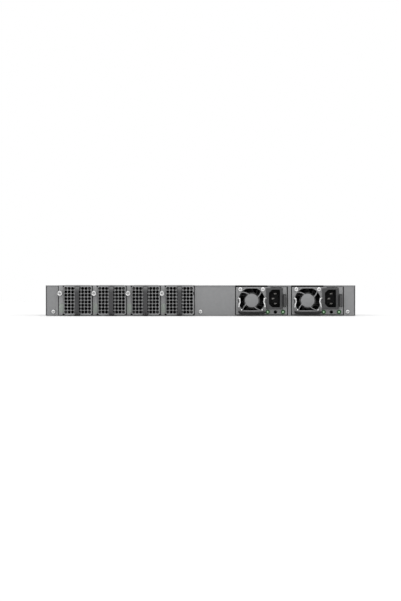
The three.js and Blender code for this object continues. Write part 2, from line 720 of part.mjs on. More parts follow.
// ---------------------------------------------------------------- boards
// The main board runs back beside the power bays to sockets that take the fan trays' plugs.
function mainBoard() {
  const side = 214;
  const besideBays = 40;
  const step = PSU_BACK + 38;
  const z = [BOARD_TOP - BOARD_THICK, BOARD_TOP];
  const socket = { x: [19.6, 35.4], y: [0.4, 11.4], z: [z[0], 10.8] };
  const slot = { x: [21.5, 33.5], y: [-0.6, 6.4], z: [BOARD_TOP, 9.6] };
  const boards = [
    block([-side, side], [step, FRONT - PANEL - 1], z),
    block([-side, besideBays], [FAN_BAY_BACK + 1.5, step + 1], z),
  ];
  const sockets = count(TRAYS, (n) => {
    const [body, hollow] = [socket, slot].map((part) =>
      block(moved(part.x, BAY_START + n * BAY_PITCH), moved(part.y, FAN_BAY_BACK), part.z),
    );
    return cut(body, hollow);
  });
  return join(...boards, ...sockets);
}

function switchChip() {
  return block([-31, 19], [109, 159], [BOARD_TOP + GAP, 11.9]);
}

function heatSink() {
  const x = [-52, 40];
  const y = [96, 172];
  const baseZ = [12.2, 16];
  const finTop = 39;
  const finThick = 1.2;
  const finCount = 16;
  const finPitch = (x[1] - x[0] - finThick) / (finCount - 1);
  const fins = count(finCount, (n) =>
    block(moved([0, finThick], x[0] + n * finPitch), y, [baseZ[1] - 1, finTop]),
  );
  return join(block(x, y, baseZ), ...fins);
}

// The power board takes each module's edge connector in a slotted socket.
function powerBoard() {
  const start = PSU_BACK + 6;
  const board = block([46, 208], [start + 6, start + 28], [2.4, 4]);
  const sockets = PSU_CENTRES.map((x) =>
    cut(
      block(about(x, 27), [start, start + 16], [3.6, 11]),
      block(about(x, 25.4), [start - PAST, start + 6], [5.6, 8]),
    ),
  );
  return join(board, ...sockets);
}

piece("sfp_cage", cageBlock(SFP), zincSteel);
piece("qsfp_cage", cageBlock(QSFP), zincSteel);
piece("front_panel", frontPanel(), paintedSteel);
piece("console_jack", consoleJack(), zincSteel);
piece("reset_button", resetButton(), darkPlastic);
piece("main_board", mainBoard(), boardGreen);
piece("switch_chip", switchChip(), blackPlastic);
piece("heat_sink", heatSink(), aluminium);
piece("power_board", powerBoard(), boardGreen);

export default model;
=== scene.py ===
"""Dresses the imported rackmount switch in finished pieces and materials.

Lengths are millimetres until piece() scales a mesh to metres. Outlines are (x, z) points.
"""

import math

import bmesh
import bpy
from mathutils import Matrix, Vector


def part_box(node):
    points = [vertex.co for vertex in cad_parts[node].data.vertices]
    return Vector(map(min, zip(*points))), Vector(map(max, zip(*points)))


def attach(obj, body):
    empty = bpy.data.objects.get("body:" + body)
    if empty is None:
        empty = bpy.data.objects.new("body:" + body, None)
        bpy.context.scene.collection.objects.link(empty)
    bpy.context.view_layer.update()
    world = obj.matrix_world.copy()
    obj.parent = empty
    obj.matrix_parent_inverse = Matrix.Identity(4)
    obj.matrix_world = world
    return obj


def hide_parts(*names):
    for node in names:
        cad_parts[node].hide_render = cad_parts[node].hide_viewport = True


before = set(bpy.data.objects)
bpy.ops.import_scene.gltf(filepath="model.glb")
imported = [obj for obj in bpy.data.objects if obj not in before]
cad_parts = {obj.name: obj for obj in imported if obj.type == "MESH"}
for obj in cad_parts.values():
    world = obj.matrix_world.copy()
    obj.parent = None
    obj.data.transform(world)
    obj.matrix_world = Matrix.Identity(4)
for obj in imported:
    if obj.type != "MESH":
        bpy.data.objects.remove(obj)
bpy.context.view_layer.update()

MM = 0.001


def box_mm(node):
    low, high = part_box(node)
    return low / MM, high / MM


def centre_mm(node):
    low, high = box_mm(node)
    return (low + high) / 2


cover_low, cover_high = box_mm("top_cover")
REAR = cover_low.y  # the face with the fan trays and power modules looks towards -Y
FRONT = cover_high.y
TOP = cover_high.z
SIDE = cover_high.x
PANEL = 1.2  # thickness of the face sheets
EASE = 0.12  # how far a sheet's edges are broken


# ---- outlines, as (x, z) points
def rectangle(x0, x1, z0, z1):
    return [(x0, z0), (x1, z0), (x1, z1), (x0, z1)]


def around(x, z, radius, angle):
    return (x + radius * math.cos(angle), z + radius * math.sin(angle))


def circle(x, z, radius, count=24, start=0.0):
    return [around(x, z, radius, start + 2 * math.pi * n / count) for n in range(count)]


def hexagon(x, z, radius):
    return circle(x, z, radius, 6, math.pi / 6)


def rounded(corners, radius, steps=4):
    """The outline with each corner cut back by radius and bridged by a curve."""
    points = []
    for i, corner in enumerate(corners):
        here = Vector(corner)
        before = Vector(corners[i - 1])
        after = Vector(corners[(i + 1) % len(corners)])
        start = here + (before - here).normalized() * radius
        end = here + (after - here).normalized() * radius
        for step in range(steps + 1):
            t = step / steps
            points.append(start * (1 - t) ** 2 + here * 2 * t * (1 - t) + end * t * t)
    return points


def soft_box(x0, x1, z0, z1, radius, steps=4):
    return rounded(rectangle(x0, x1, z0, z1), radius, steps)


def inset(outline, distance):
    """A counter-clockwise outline moved inwards by distance."""
    moved = []
    for i, point in enumerate(outline):
        here = Vector(point)
        arriving = (here - Vector(outline[i - 1])).normalized()
        leaving = (Vector(outline[(i + 1) % len(outline)]) - here).normalized()
        inward = Vector((-arriving.y - leaving.y, arriving.x + leaving.x))
        moved.append(here + inward * distance / (1 + arriving.dot(leaving)))
    return moved


def cross(x, z, reach, half):
    """The outline of a cross recess."""
    quarter = [(reach, -half), (reach, half), (half, half)]
    points = []
    for turn in range(4):
        c = round(math.cos(turn * math.pi / 2))
        s = round(math.sin(turn * math.pi / 2))
        points += [(x + c * u - s * v, z + s * u + c * v) for u, v in quarter]
    return points


# ---- solids, added to a bmesh
def at_depth(outline, y):
    return [Vector((x, y, z)) for x, z in outline]


def add_loft(bm, loops, ring=False):
    """Skins loops of equal length; a ring joins the last loop to the first instead of capping both."""
    rows = [[bm.verts.new(point) for point in loop] for loop in loops]
    pairs = list(zip(rows, rows[1:]))
    if ring:
        pairs.append((rows[-1], rows[0]))
    for a, b in pairs:
        for i in range(len(a)):
            bm.faces.new((a[i - 1], a[i], b[i], b[i - 1]))
    if not ring:
        bm.faces.new(reversed(rows[0]))
        bm.faces.new(rows[-1])


def add_plug(bm, outline, y0, y1, edge=0.3):
    """A solid with this outline between two depths, its rims rounded by edge."""
    rim = [(1.0, 0.0), (0.3, 0.3), (0.0, 1.0)]
    front = [at_depth(inset(outline, edge * i), y0 + edge * d) for i, d in rim]
    back = [at_depth(inset(outline, edge * i), y1 - edge * d) for i, d in reversed(rim)]
    add_loft(bm, front + back)


def add_liner(bm, outline, y0, y1, wall):
    """A tube with this outside, open at both ends."""
    inner = inset(outline, wall)
    loops = [at_depth(outline, y0), at_depth(outline, y1), at_depth(inner, y1), at_depth(inner, y0)]
    add_loft(bm, loops, ring=True)


def add_lathe(bm, x, z, profile, count=32, ring=False):
    """A turned solid about an axis along Y, from (radius, y) steps."""
    add_loft(bm, [at_depth(circle(x, z, radius, count), y) for radius, y in profile], ring)


def add_block(bm, low, high, edge=0.2):
    made = bmesh.ops.create_cube(bm, size=1)
    size = Vector(high) - Vector(low)
    middle = (Vector(high) + Vector(low)) / 2
    for vert in made["verts"]:
        vert.co = Vector((a * b for a, b in zip(vert.co, size))) + middle
    edges = list({e for vert in made["verts"] for e in vert.link_edges})
    bmesh.ops.bevel(bm, geom=edges, offset=edge, segments=2, profile=0.6, affect="EDGES")


FACING_Y = Matrix.Rotation(math.pi / 2, 4, "X")  # turns a flat (x, y) sheet upright, into X and Z
FACING_X = Matrix(((0, 0, 1, 0), (1, 0, 0, 0), (0, 1, 0, 0), (0, 0, 0, 1)))  # into Y and Z
FACING_Z = Matrix.Identity(4)


def add_sheet(bm, loops, start, thickness, edge=EASE, facing=FACING_Y):
    """A flat sheet from start along its normal. Its first outline is the rim, the others are holes."""
    curve = bpy.data.curves.new("sheet", "CURVE")
    curve.dimensions = "2D"
    curve.fill_mode = "BOTH"
    curve.extrude = thickness / 2 - edge
    curve.bevel_depth = edge
    curve.bevel_resolution = 1
    curve.offset = -edge
    for loop in loops:
        spline = curve.splines.new("POLY")
        spline.points.add(len(loop) - 1)
        for point, (x, z) in zip(spline.points, loop):
            point.co = (x, z, 0, 1)
        spline.use_cyclic_u = True
    holder = bpy.data.objects.new("sheet", curve)
    bpy.context.collection.objects.link(holder)
    bpy.context.view_layer.update()
    mesh = bpy.data.meshes.new_from_object(holder.evaluated_get(bpy.context.evaluated_depsgraph_get()))
    outward = Vector([abs(share) for share in facing.col[2][:3]])
    mesh.transform(Matrix.Translation(outward * (start + thickness / 2)) @ facing)
    bm.from_mesh(mesh)
    bpy.data.objects.remove(holder)
    bpy.data.meshes.remove(mesh)
    bpy.data.curves.remove(curve)


def add_wire(bm, points, radius, count=12):
    """A round wire through points, with domed ends."""
    points = [Vector(p) for p in points]
    last = len(points) - 1
    dome = [0.35, 0.8, 1.0]
    turns = [2 * math.pi * k / count for k in range(count)]
    loops = []
    for i, point in enumerate(points):
        ahead = (points[min(i + 1, last)] - points[max(i - 1, 0)]).normalized()
        if i == 0:
            across = ahead.orthogonal().normalized()
        else:
            across = (across - ahead * across.dot(ahead)).normalized()
        other = ahead.cross(across)
        shares = dome if i == 0 else dome[::-1] if i == last else [1.0]
        for share in shares:
            lift = radius * math.sqrt(1 - share * share)
            centre = point - ahead * lift if i == 0 else point + ahead * lift
            reach = radius * share
            loops.append([centre + (across * math.cos(a) + other * math.sin(a)) * reach for a in turns])
    add_loft(bm, loops)


def smooth_path(points, steps=6):
    """A Catmull-Rom curve through the points."""
    points = [Vector(p) for p in points]
    ends = [points[0] * 2 - points[1]] + points + [points[-1] * 2 - points[-2]]
    path = []
    for a, b, c, d in zip(ends, ends[1:], ends[2:], ends[3:]):
        for step in range(steps):
            t = step / steps
            bend = (a * 2 - b * 5 + c * 4 - d) * t**2 + (b * 3 - a - c * 3 + d) * t**3
            path.append((b * 2 + (c - a) * t + bend) / 2)
    return path + [points[-1]]


# ---- pieces
def piece(name, bm, material, body, replaces=(), ease=0.0):
    """Turns millimetres into a named object that rides on a body."""
    bmesh.ops.remove_doubles(bm, verts=bm.verts, dist=1e-4)
    bmesh.ops.recalc_face_normals(bm, faces=bm.faces)
    bmesh.ops.scale(bm, vec=(MM, MM, MM), verts=bm.verts)
    mesh = bpy.data.meshes.new(name)
    bm.to_mesh(mesh)
    bm.free()
    mesh.shade_smooth()
    mesh.set_sharp_from_angle(angle=math.radians(35))
    mesh.materials.append(material)
    obj = bpy.data.objects.new(name, mesh)
    bpy.context.collection.objects.link(obj)
    ease_edges(obj, ease)
    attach(obj, body)
    if replaces:
        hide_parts(*replaces)


def ease_edges(obj, width):
    if not width:
        return
    ease = obj.modifiers.new("ease", "BEVEL")
    ease.width = width * MM
    ease.segments = 2
    ease.limit_method = "ANGLE"
    ease.angle_limit = math.radians(50)


def dress(node, material, ease=0.0):
    """Keeps a CAD node, with a finish and eased edges."""
    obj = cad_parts[node]
    obj.data.materials.clear()
    obj.data.materials.append(material)
    ease_edges(obj, ease)


# ---- materials
class Finish:
    """A Principled material with helpers for procedural detail. Texture scales are per metre."""

    def __init__(self, name, colour, roughness, metallic=0.0):
        self.material = bpy.data.materials.new(name)
        self.material.use_nodes = True
        self.tree = self.material.node_tree
        self.shader = self.tree.nodes["Principled BSDF"]
        self.shader.inputs["Metallic"].default_value = metallic
        self.colour = self.add("ShaderNodeRGB").outputs[0]
        self.colour.default_value = (*colour, 1)
        self.roughness = self.value(roughness)
        self.normal = None

    def add(self, kind, **settings):
        node = self.tree.nodes.new(kind)
        for key, value in settings.items():
            setattr(node, key, value)
        return node

    def link(self, source, target):
        self.tree.links.new(source, target)

    def value(self, number):
        output = self.add("ShaderNodeValue").outputs[0]
        output.default_value = number
        return output

    def noise(self, scale, stretch=(1, 1, 1), detail=3.0):
        place = self.add("ShaderNodeMapping")
        place.inputs["Scale"].default_value = stretch
        self.link(self.add("ShaderNodeTexCoord").outputs["Object"], place.inputs["Vector"])
        texture = self.add("ShaderNodeTexNoise")
        texture.inputs["Scale"].default_value = scale
        texture.inputs["Detail"].default_value = detail
        self.link(place.outputs["Vector"], texture.inputs["Vector"])
        return texture.outputs["Fac"]

    def cells(self, scale):
        """How far a point is from the edge of its cell."""
        texture = self.add("ShaderNodeTexVoronoi", feature="DISTANCE_TO_EDGE")
        texture.inputs["Scale"].default_value = scale
        self.link(self.add("ShaderNodeTexCoord").outputs["Object"], texture.inputs["Vector"])
        return texture.outputs["Distance"]

    def spread(self, factor, low, high, start=0.3, stop=0.7):
        """Maps start..stop to low..high."""
        node = self.add("ShaderNodeMapRange")
        for name, number in (("From Min", start), ("From Max", stop), ("To Min", low), ("To Max", high)):
            node.inputs[name].default_value = number
        self.link(factor, node.inputs["Value"])
        return node.outputs["Result"]

    def multiply(self, a, b):
        node = self.add("ShaderNodeMath", operation="MULTIPLY")
        self.link(a, node.inputs[0])
        self.link(b, node.inputs[1])
        return node.outputs[0]

    def tint(self, factor, colour):
        """Mixes the base colour towards another by factor."""
        node = self.add("ShaderNodeMix", data_type="RGBA")
        self.link(factor, node.inputs[0])
        self.link(self.colour, node.inputs[6])
        node.inputs[7].default_value = (*colour, 1)
        self.colour = node.outputs[2]

    def mottle(self, scale, amount, stretch=(1, 1, 1)):
        """Lightens and darkens the colour and the roughness a little."""
        shade = self.spread(self.noise(scale, stretch), 1 - amount, 1 + amount)
        node = self.add("ShaderNodeVectorMath", operation="SCALE")
        self.link(self.colour, node.inputs[0])
        self.link(shade, node.inputs["Scale"])
        self.colour = node.outputs[0]
        self.roughness = self.multiply(self.roughness, shade)

    def bump(self, height, depth_mm):
        node = self.add("ShaderNodeBump")
        node.inputs["Distance"].default_value = depth_mm * MM
        self.link(height, node.inputs["Height"])
        if self.normal is not None:
            self.link(self.normal, node.inputs["Normal"])
        self.normal = node.outputs["Normal"]

    def rubbed_edges_and_sheen(self, colour, width_mm, amount):
        """Blends a lighter colour in where the surface turns a corner, broken up by noise: rubbed wear,
        and on plastics also a painted sheen.
        """
        soft = self.add("ShaderNodeBevel", samples=4)
        soft.inputs["Radius"].default_value = width_mm * MM
        sharp = self.add("ShaderNodeNewGeometry")
        alike = self.add("ShaderNodeVectorMath", operation="DOT_PRODUCT")
        self.link(soft.outputs["Normal"], alike.inputs[0])
        self.link(sharp.outputs["Normal"], alike.inputs[1])
        turned = self.spread(alike.outputs["Value"], amount, 0.0, 0.75, 0.97)
        broken = self.spread(self.noise(900), 0.35, 1.0)
        self.tint(self.multiply(turned, broken), colour)

    def paint_hollow_shade(self, reach_mm, colour, amount):
        """Paints shade into hollows and inside corners: darkens the colour where ambient occlusion finds
        them.
        """
        shade = self.add("ShaderNodeAmbientOcclusion", samples=6)
        shade.inputs["Distance"].default_value = reach_mm * MM
        self.tint(self.spread(shade.outputs["AO"], amount, 0.0, 0.3, 0.9), colour)

    def done(self):
        self.link(self.colour, self.shader.inputs["Base Color"])
        self.link(self.roughness, self.shader.inputs["Roughness"])
        if self.normal is not None:
            self.link(self.normal, self.shader.inputs["Normal"])
        return self.material


def painted_sheet(name, colour, wear=(0.42, 0.42, 0.43)):
    """Fine-textured powder coat with an orange-peel surface, slightly rubbed edges and painted shade in
    its hollows.
    """
    finish = Finish(name, colour, 0.48)
    finish.mottle(14, 0.03)
    finish.mottle(220, 0.035)
    finish.rubbed_edges_and_sheen(wear, 0.25, 0.5)
    # Painted shade: the colour darkens in hollows and inside corners.
    finish.paint_hollow_shade(3, (0.06, 0.06, 0.06), 0.35)
    finish.bump(finish.noise(2600, detail=2), 0.014)
    finish.bump(finish.noise(420), 0.03)
    return finish.done()


def plated_steel(name, colour, roughness):
    """Zinc plate: a fine rolled grain, faint crystal cells and painted shade in its hollows."""
    finish = Finish(name, colour, roughness, 1.0)
    finish.mottle(60, 0.08)
    finish.mottle(300, 0.12, stretch=(1, 1, 9))
    # Painted shade: the colour darkens in hollows and inside corners.
    finish.paint_hollow_shade(4, (0.03, 0.03, 0.03), 0.5)
    finish.bump(finish.noise(1500, stretch=(1, 1, 12)), 0.006)
    return finish.done()


def turned_steel(name, colour, roughness):
    """Bright plated steel with fine handling marks and strong painted shade in its hollows."""
    finish = Finish(name, colour, roughness, 1.0)
    finish.mottle(700, 0.08)
    # Painted shade: hollows such as the cross recesses turn nearly black.
    finish.paint_hollow_shade(1.6, (0.04, 0.04, 0.04), 0.95)
    finish.bump(finish.noise(2200, stretch=(1, 4, 1)), 0.004)
    return finish.done()


def moulded_plastic(name, colour, roughness=0.5, grain_mm=0.35, shine=0.5):
    """Spark-eroded moulding texture, with lighter edges: rubbed wear and a painted sheen."""
    finish = Finish(name, colour, roughness)
    finish.mottle(90, 0.06)
    lighter = tuple(min(1.0, channel * 1.6 + 0.006) for channel in colour)
    # Painted sheen and wear: a lighter colour along the edges.
    finish.rubbed_edges_and_sheen(lighter, 0.2, 0.4)
    finish.bump(finish.noise(1000 / grain_mm, detail=2), 0.02)
    finish.shader.inputs["Specular IOR Level"].default_value = shine
    return finish.done()


def circuit_board(name):
    """Solder mask over copper, with lighter copper pours between clearance gaps."""
    finish = Finish(name, (0.012, 0.075, 0.035), 0.32)
    copper = finish.spread(finish.cells(260), 0.0, 0.75, 0.03, 0.06)
    finish.tint(copper, (0.02, 0.14, 0.06))
    finish.mottle(45, 0.08)
    finish.bump(finish.cells(260), 0.02)
    return finish.done()


def extruded_aluminium(name):
    finish = Finish(name, (0.62, 0.63, 0.64), 0.34, 1.0)
    finish.mottle(120, 0.06, stretch=(9, 1, 9))
    finish.bump(finish.noise(900, stretch=(12, 0.6, 12)), 0.01)
    return finish.done()


def lens(name, colour, glow, coat=0.3):
    """A tinted moulding, with light behind it where it glows."""
    finish = Finish(name, colour, 0.35)
    finish.mottle(900, 0.05)
    finish.shader.inputs["Emission Color"].default_value = (*colour, 1)
    finish.shader.inputs["Emission Strength"].default_value = glow
    finish.shader.inputs["Coat Weight"].default_value = coat
    finish.bump(finish.noise(1400), 0.01)
    return finish.done()


panel_paint = painted_sheet("panel_paint", (0.262, 0.264, 0.268))
module_paint = painted_sheet("module_paint", (0.262, 0.264, 0.267))
bezel_paint = painted_sheet("bezel_paint", (0.175, 0.177, 0.178), (0.24, 0.24, 0.245))
# Darker than the strip's paint on the same tray sheet: painted shade among the grille's holes.
grille_shaded_paint = painted_sheet("grille_shaded_paint", (0.265, 0.267, 0.27))
strip_paint = painted_sheet("strip_paint", (0.32, 0.322, 0.325))
# Far darker than real zinc plate: painted shade for the bay frames inside the chassis.
shaded_zinc = plated_steel("zinc_plate", (0.12, 0.12, 0.124), 0.6)
cage_steel = plated_steel("cage_steel", (0.66, 0.66, 0.65), 0.3)
spring_steel = plated_steel("spring_steel", (0.78, 0.77, 0.75), 0.22)
screw_steel = turned_steel("screw_steel", (0.9, 0.9, 0.9), 0.24)
dull_steel = turned_steel("dull_steel", (0.5, 0.5, 0.5), 0.35)
plain_steel = turned_steel("plain_steel", (0.8, 0.8, 0.8), 0.28)
dark_steel = turned_steel("dark_steel", (0.1, 0.1, 0.1), 0.5)
chrome = turned_steel("bright_wire", (0.97, 0.97, 0.97), 0.12)
pin_metal = turned_steel("pin_metal", (0.32, 0.31, 0.3), 0.35)
handle_plastic = moulded_plastic("handle_plastic", (0.046, 0.046, 0.048), 0.5)
grip_plastic = moulded_plastic("grip_plastic", (0.009, 0.009, 0.0095), 0.4)
latch_plastic = moulded_plastic("latch_plastic", (0.06, 0.06, 0.061), 0.5)
inlet_plastic = moulded_plastic("inlet_plastic", (0.006, 0.006, 0.007), 0.55, shine=0.3)
flange_plastic = moulded_plastic("flange_plastic", (0.055, 0.055, 0.057), 0.5)
fan_plastic = moulded_plastic("fan_plastic", (0.006, 0.006, 0.0065), 0.6, 0.5, shine=0.25)
foam = moulded_plastic("gasket_foam", (0.004, 0.004, 0.004), 0.9, 1.2, shine=0.05)
blade_plastic = moulded_plastic("blade_plastic", (0.012, 0.012, 0.013), 0.42, 0.5)
hub_plastic = moulded_plastic("hub_plastic", (0.1, 0.1, 0.1), 0.5)
sleeve_plastic = moulded_plastic("sleeve_plastic", (0.19, 0.19, 0.19), 0.5)
board_mask = circuit_board("circuit_board")
sink_metal = extruded_aluminium("sink_metal")
green_glow = lens("green_glow", (0.6, 0.9, 0.58), 0.25)
green_ring = lens("green_ring", (0.012, 0.07, 0.016), 0.02, 0.0)
tray_green = lens("tray_green", (0.315, 0.346, 0.315), 0.0, 0.0)
port_green = lens("port_green", (0.2, 0.8, 0.25), 0.3)
gold = turned_steel("contact_gold", (0.9, 0.62, 0.25), 0.25)
wire_red = moulded_plastic("wire_red", (0.3, 0.012, 0.012), 0.4)
wire_black = moulded_plastic("wire_black", (0.01, 0.01, 0.01), 0.4)


# ---- shared small parts
HEAD_SIDES = 28


def add_screw_head(bm, x, z, face, radius, height):
    """A pan head with a cross recess, standing out of the plane y = face."""
    lip = 0.35 * radius
    top = face - height
    dish = circle(x, z, radius - lip, HEAD_SIDES)
    add_sheet(bm, [dish, cross(x, z, 0.5 * radius, 0.12 * radius)], top, 0.5, 0.05)
    # The skirt's steps, as shares of the lip and of the height.
    skirt = [(1, 0.0), (0.5, 0.1), (0.15, 0.32), (0, 0.65), (0, 1.0), (1, 1.0)]
    rows = [(radius - lip * share, top + height * depth) for share, depth in skirt]
    add_lathe(bm, x, z, rows, HEAD_SIDES, ring=True)
    add_lathe(bm, x, z, [(radius - lip, top + 0.8 * height), (radius - lip, face - 0.02)], HEAD_SIDES)


FLANGE = 3.4  # thickness of a fan frame's flanges
FLANGE_CORNER = 2.6
MOTOR_MOUNT = 8.4  # radius
STRUT_SWEEP = 0.32  # radians
HUB = 8.6  # radius
BLADES = 7


def add_fan_frame(bm, x, z, y0, y1, size, bore):
    """Two flanges joined by a barrel, with a motor mount on four struts at the y0 end."""
    half = size / 2
    square = soft_box(x - half, x + half, z - half, z + half, FLANGE_CORNER, 5)
    pitch = half * 0.8
    holes = [circle(x + i * pitch, z + k * pitch, 1.75, 16) for i in (-1, 1) for k in (-1, 1)]
    for start in (y0, y1 - FLANGE):
        add_sheet(bm, [square, circle(x, z, bore, 64), *holes], start, FLANGE, 0.25)
    barrel = [(bore, y0 + 0.3), (bore + 1, y0 + 0.3), (bore + 1, y1 - 0.3), (bore, y1 - 0.3)]
    add_lathe(bm, x, z, barrel, 64, ring=True)
    mount = [(MOTOR_MOUNT - 0.6, y0 + 0.5), (MOTOR_MOUNT, y0 + 1.1), (MOTOR_MOUNT, y0 + 3.2)]
    add_lathe(bm, x, z, mount, 48)

    for n in range(4):
        lean = math.radians(45 + 90 * n)
        ends = [around(x, z, MOTOR_MOUNT * 0.9, lean), around(x, z, bore + 0.4, lean + STRUT_SWEEP)]
        start, end = at_depth(ends, y0 + 1.8)
        add_wire(bm, [start, (start + end) / 2, end], 0.8, 8)


def add_rotor(bm, x, z, y0, y1, tip):
    """A domed hub with curved, twisted blades."""
    add_lathe(bm, x, z, [(HUB - 1.6, y0), (HUB - 0.5, y0 + 0.4), (HUB, y0 + 1.5), (HUB, y1)], 48)
    rows, columns = 8, 7
    root = HUB - 0.4
    for n in range(BLADES):
        base = 2 * math.pi * n / BLADES
        loops = []
        for row in range(rows + 1):
            out = row / rows
            radius = root + (tip - root) * out
            chord = 1.09 - 0.345 * out  # the blade's width, in radians
            front, back = [], []
            for column in range(columns + 1):
                along = column / columns
                angle = base + chord * (along - 0.5) + 0.18 * math.sin(math.pi * along) + 0.12 * out
                depth = y0 + 1.2 + (y1 - y0 - 3) * along
                half = (0.5 * math.sin(math.pi * min(0.97, along + 0.03)) + 0.12) / radius
                front.append((*around(x, z, radius, angle - half), depth))
                back.append((*around(x, z, radius, angle + half), depth))
            loops.append([Vector((a, depth, b)) for a, b, depth in front + back[::-1]])
        add_loft(bm, loops)


def build_fan(k, unit, nodes, names, wall, blades):
    """The frame and wheel of unit k's fan. Returns the frame's box and bore."""
    low, high = box_mm(f"{nodes[0]}_{k}")
    x, z = (low.x + high.x) / 2, (low.z + high.z) / 2
    bore = (high.x - low.x) / 2 - wall
    bm = bmesh.new()
    add_fan_frame(bm, x, z, low.y, high.y, high.x - low.x, bore)
    piece(f"{names[0]}_{k}", bm, fan_plastic, f"{unit}_{k}", (f"{nodes[0]}_{k}",))
    bm = bmesh.new()
    add_rotor(bm, x, z, low.y + 4.2, high.y - 1.4, bore - 0.7)
    piece(f"{names[1]}_{k}", bm, blades, f"{unit}_fan_{k}", (f"{nodes[1]}_{k}",))
    return low, high, bore


# ---- fan trays
TRAY_GAP = 0.5  # from the bay boundary to the tray's edge
STRIP_WIDTH = 7.6
HOLE_PITCH = 4.8
HOLE_COUNT = 8
HOLE_RADIUS = 2.2
GRILLE_CORNER = 2.6
GRILLE_BEND = 0.8
STRIP_Z = (1.3, 43.0)
MARK_X = (1.1, 7.5)  # the release mark, from the bay's boundary
MARK_Z = (4.6, 17.4)
TRAY_SIDE_X = (6.6, 47.6)  # the side sheet and the floor's far edge, from the bay's boundary
TRAY_SIDE_TOP = 41.6
FAN_SCREW_REACH = 16
RELIEF = 4.0  # radius of the bite round the next tray's thumbscrew


def tray_outline(left, right, low, high, relief):
    """The grille's eight-sided outline, with a bite where the next thumbscrew passes."""
    c = GRILLE_CORNER
    x, z, radius = relief
    half_turn = math.acos((x - right) / radius)
    bite = [around(x, z, radius, math.pi + half_turn * (1 - n / 4)) for n in range(9)]
    right_side = [(left + c, low), (right - c, low), (right, low + c), *bite, (right, high - c)]
    return right_side + [(right - c, high), (left + c, high), (left, high - c), (left, low + c)]


def build_tray(k):
    body = f"tray_{k}"
    low, high = box_mm(f"fan_tray_{k}")
    screw = centre_mm(f"thumbscrew_{k}")
    boundary = low.x - TRAY_GAP
    nodes, names = ("fan_frame", "fan_rotor"), ("fan_housing", "fan_wheel")
    fan_low, fan_high, bore = build_fan(k, "tray", nodes, names, 0.8, fan_plastic)
    fan = (fan_low + fan_high) / 2
    build_tray_shell(k, body, low, high, fan, screw)

    bm = bmesh.new()
    mark = soft_box(boundary + MARK_X[0], boundary + MARK_X[1], *MARK_Z, 0.8)
    add_plug(bm, mark, REAR - 0.25, REAR + 0.6, 0.15)
    piece(f"release_mark_{k}", bm, tray_green, body)

    bm = bmesh.new()
    for x in (fan.x - FAN_SCREW_REACH, fan.x + FAN_SCREW_REACH):
        for z in (fan.z - FAN_SCREW_REACH, fan.z + FAN_SCREW_REACH):
            add_screw_head(bm, x, z, low.y + 3.1, 2.5, 1.3)
    piece(f"fan_screws_{k}", bm, dark_steel, body)
    build_tray_gasket(k, body, boundary + STRIP_WIDTH, low, high, fan, bore)
    build_handle(k, body)
    build_thumbscrew(k, screw)
    build_fan_leads(k, body, fan_high)


def build_tray_shell(k, body, low, high, fan, screw):
    """The perforated, bent-up grille with its plain strip, floor and side."""
    out = low.y
    left, right = low.x, high.x
    boundary = left - TRAY_GAP
    grille_left = boundary + STRIP_WIDTH
    bm = bmesh.new()
    bottom, top = STRIP_Z
    strip = [(left, bottom), (grille_left - 2.2, bottom), (grille_left + 1.2, bottom + 3.5)]
    strip += [(grille_left + 1.2, top - 3.8), (grille_left - 2.2, top), (left, top)]
    add_sheet(bm, [strip, circle(screw.x, screw.z, 1.8)], REAR, PANEL)
    side, far = (boundary + x for x in TRAY_SIDE_X)
    add_block(bm, (side, REAR + 1, bottom), (far, high.y, bottom + 0.7), 0.15)
    add_block(bm, (side, REAR + 1, bottom), (side + 0.6, high.y, TRAY_SIDE_TOP), 0.15)
    piece(f"tray_shell_{k}", bm, strip_paint, body, (f"fan_tray_{k}",))

    bm = bmesh.new()
    pitch = right - left + 2 * TRAY_GAP
    outline = tray_outline(grille_left, right, low.z, high.z, (screw.x + pitch, screw.z, RELIEF))
    turn = [(1.0, 0.0), (0.6, 0.08), (0.29, 0.29), (0.08, 0.6), (0.0, 1.0)]
    shell = [(GRILLE_BEND * i, out + GRILLE_BEND * d) for i, d in turn]
    shell += [(0.0, REAR + PANEL), (PANEL, REAR + PANEL), (PANEL, out + PANEL)]
    add_loft(bm, [at_depth(inset(outline, i), y) for i, y in shell], ring=True)
    spots = [(n - (HOLE_COUNT - 1) / 2) * HOLE_PITCH for n in range(HOLE_COUNT)]
    holes = [circle(fan.x + dx, fan.z + dz, HOLE_RADIUS, 20) for dx in spots for dz in spots]
    add_sheet(bm, [inset(outline, GRILLE_BEND - EASE), *holes], out, PANEL)
    piece(f"tray_grille_{k}", bm, grille_shaded_paint, body)


def build_tray_gasket(k, body, grille_left, low, high, fan, bore):
    """Foam round the fan's mouth, and black foam blocks in the four cut corners of the grille that stand
    in for the shade in those gaps.
    """
    c = GRILLE_CORNER
    bm = bmesh.new()
    seal = rectangle(grille_left - 0.4, high.x - 0.1, low.z + 1.5, high.z - 1.6)
    add_sheet(bm, [seal, circle(fan.x, fan.z, bore, 48)], REAR + PANEL + 0.05, 0.3, 0.05)
    # Painted shade: black blocks fill the grille's cut corners.
    for edge, into in ((low.z + 0.5, 1), (high.z - 0.6, -1)):
        left = [(grille_left - 2.1, edge), (grille_left + c, edge), (grille_left + 0.4, edge + into * 3.2)]
        right = [(high.x - c - 0.9, edge), (high.x + 0.3, edge), (high.x + 0.3, edge + into * (c + 0.9))]
        for corner in (left, right):
            add_plug(bm, corner[::into], REAR - 0.6, REAR + PANEL, 0.1)
    piece(f"seal_and_corner_shade_{k}", bm, foam, body)


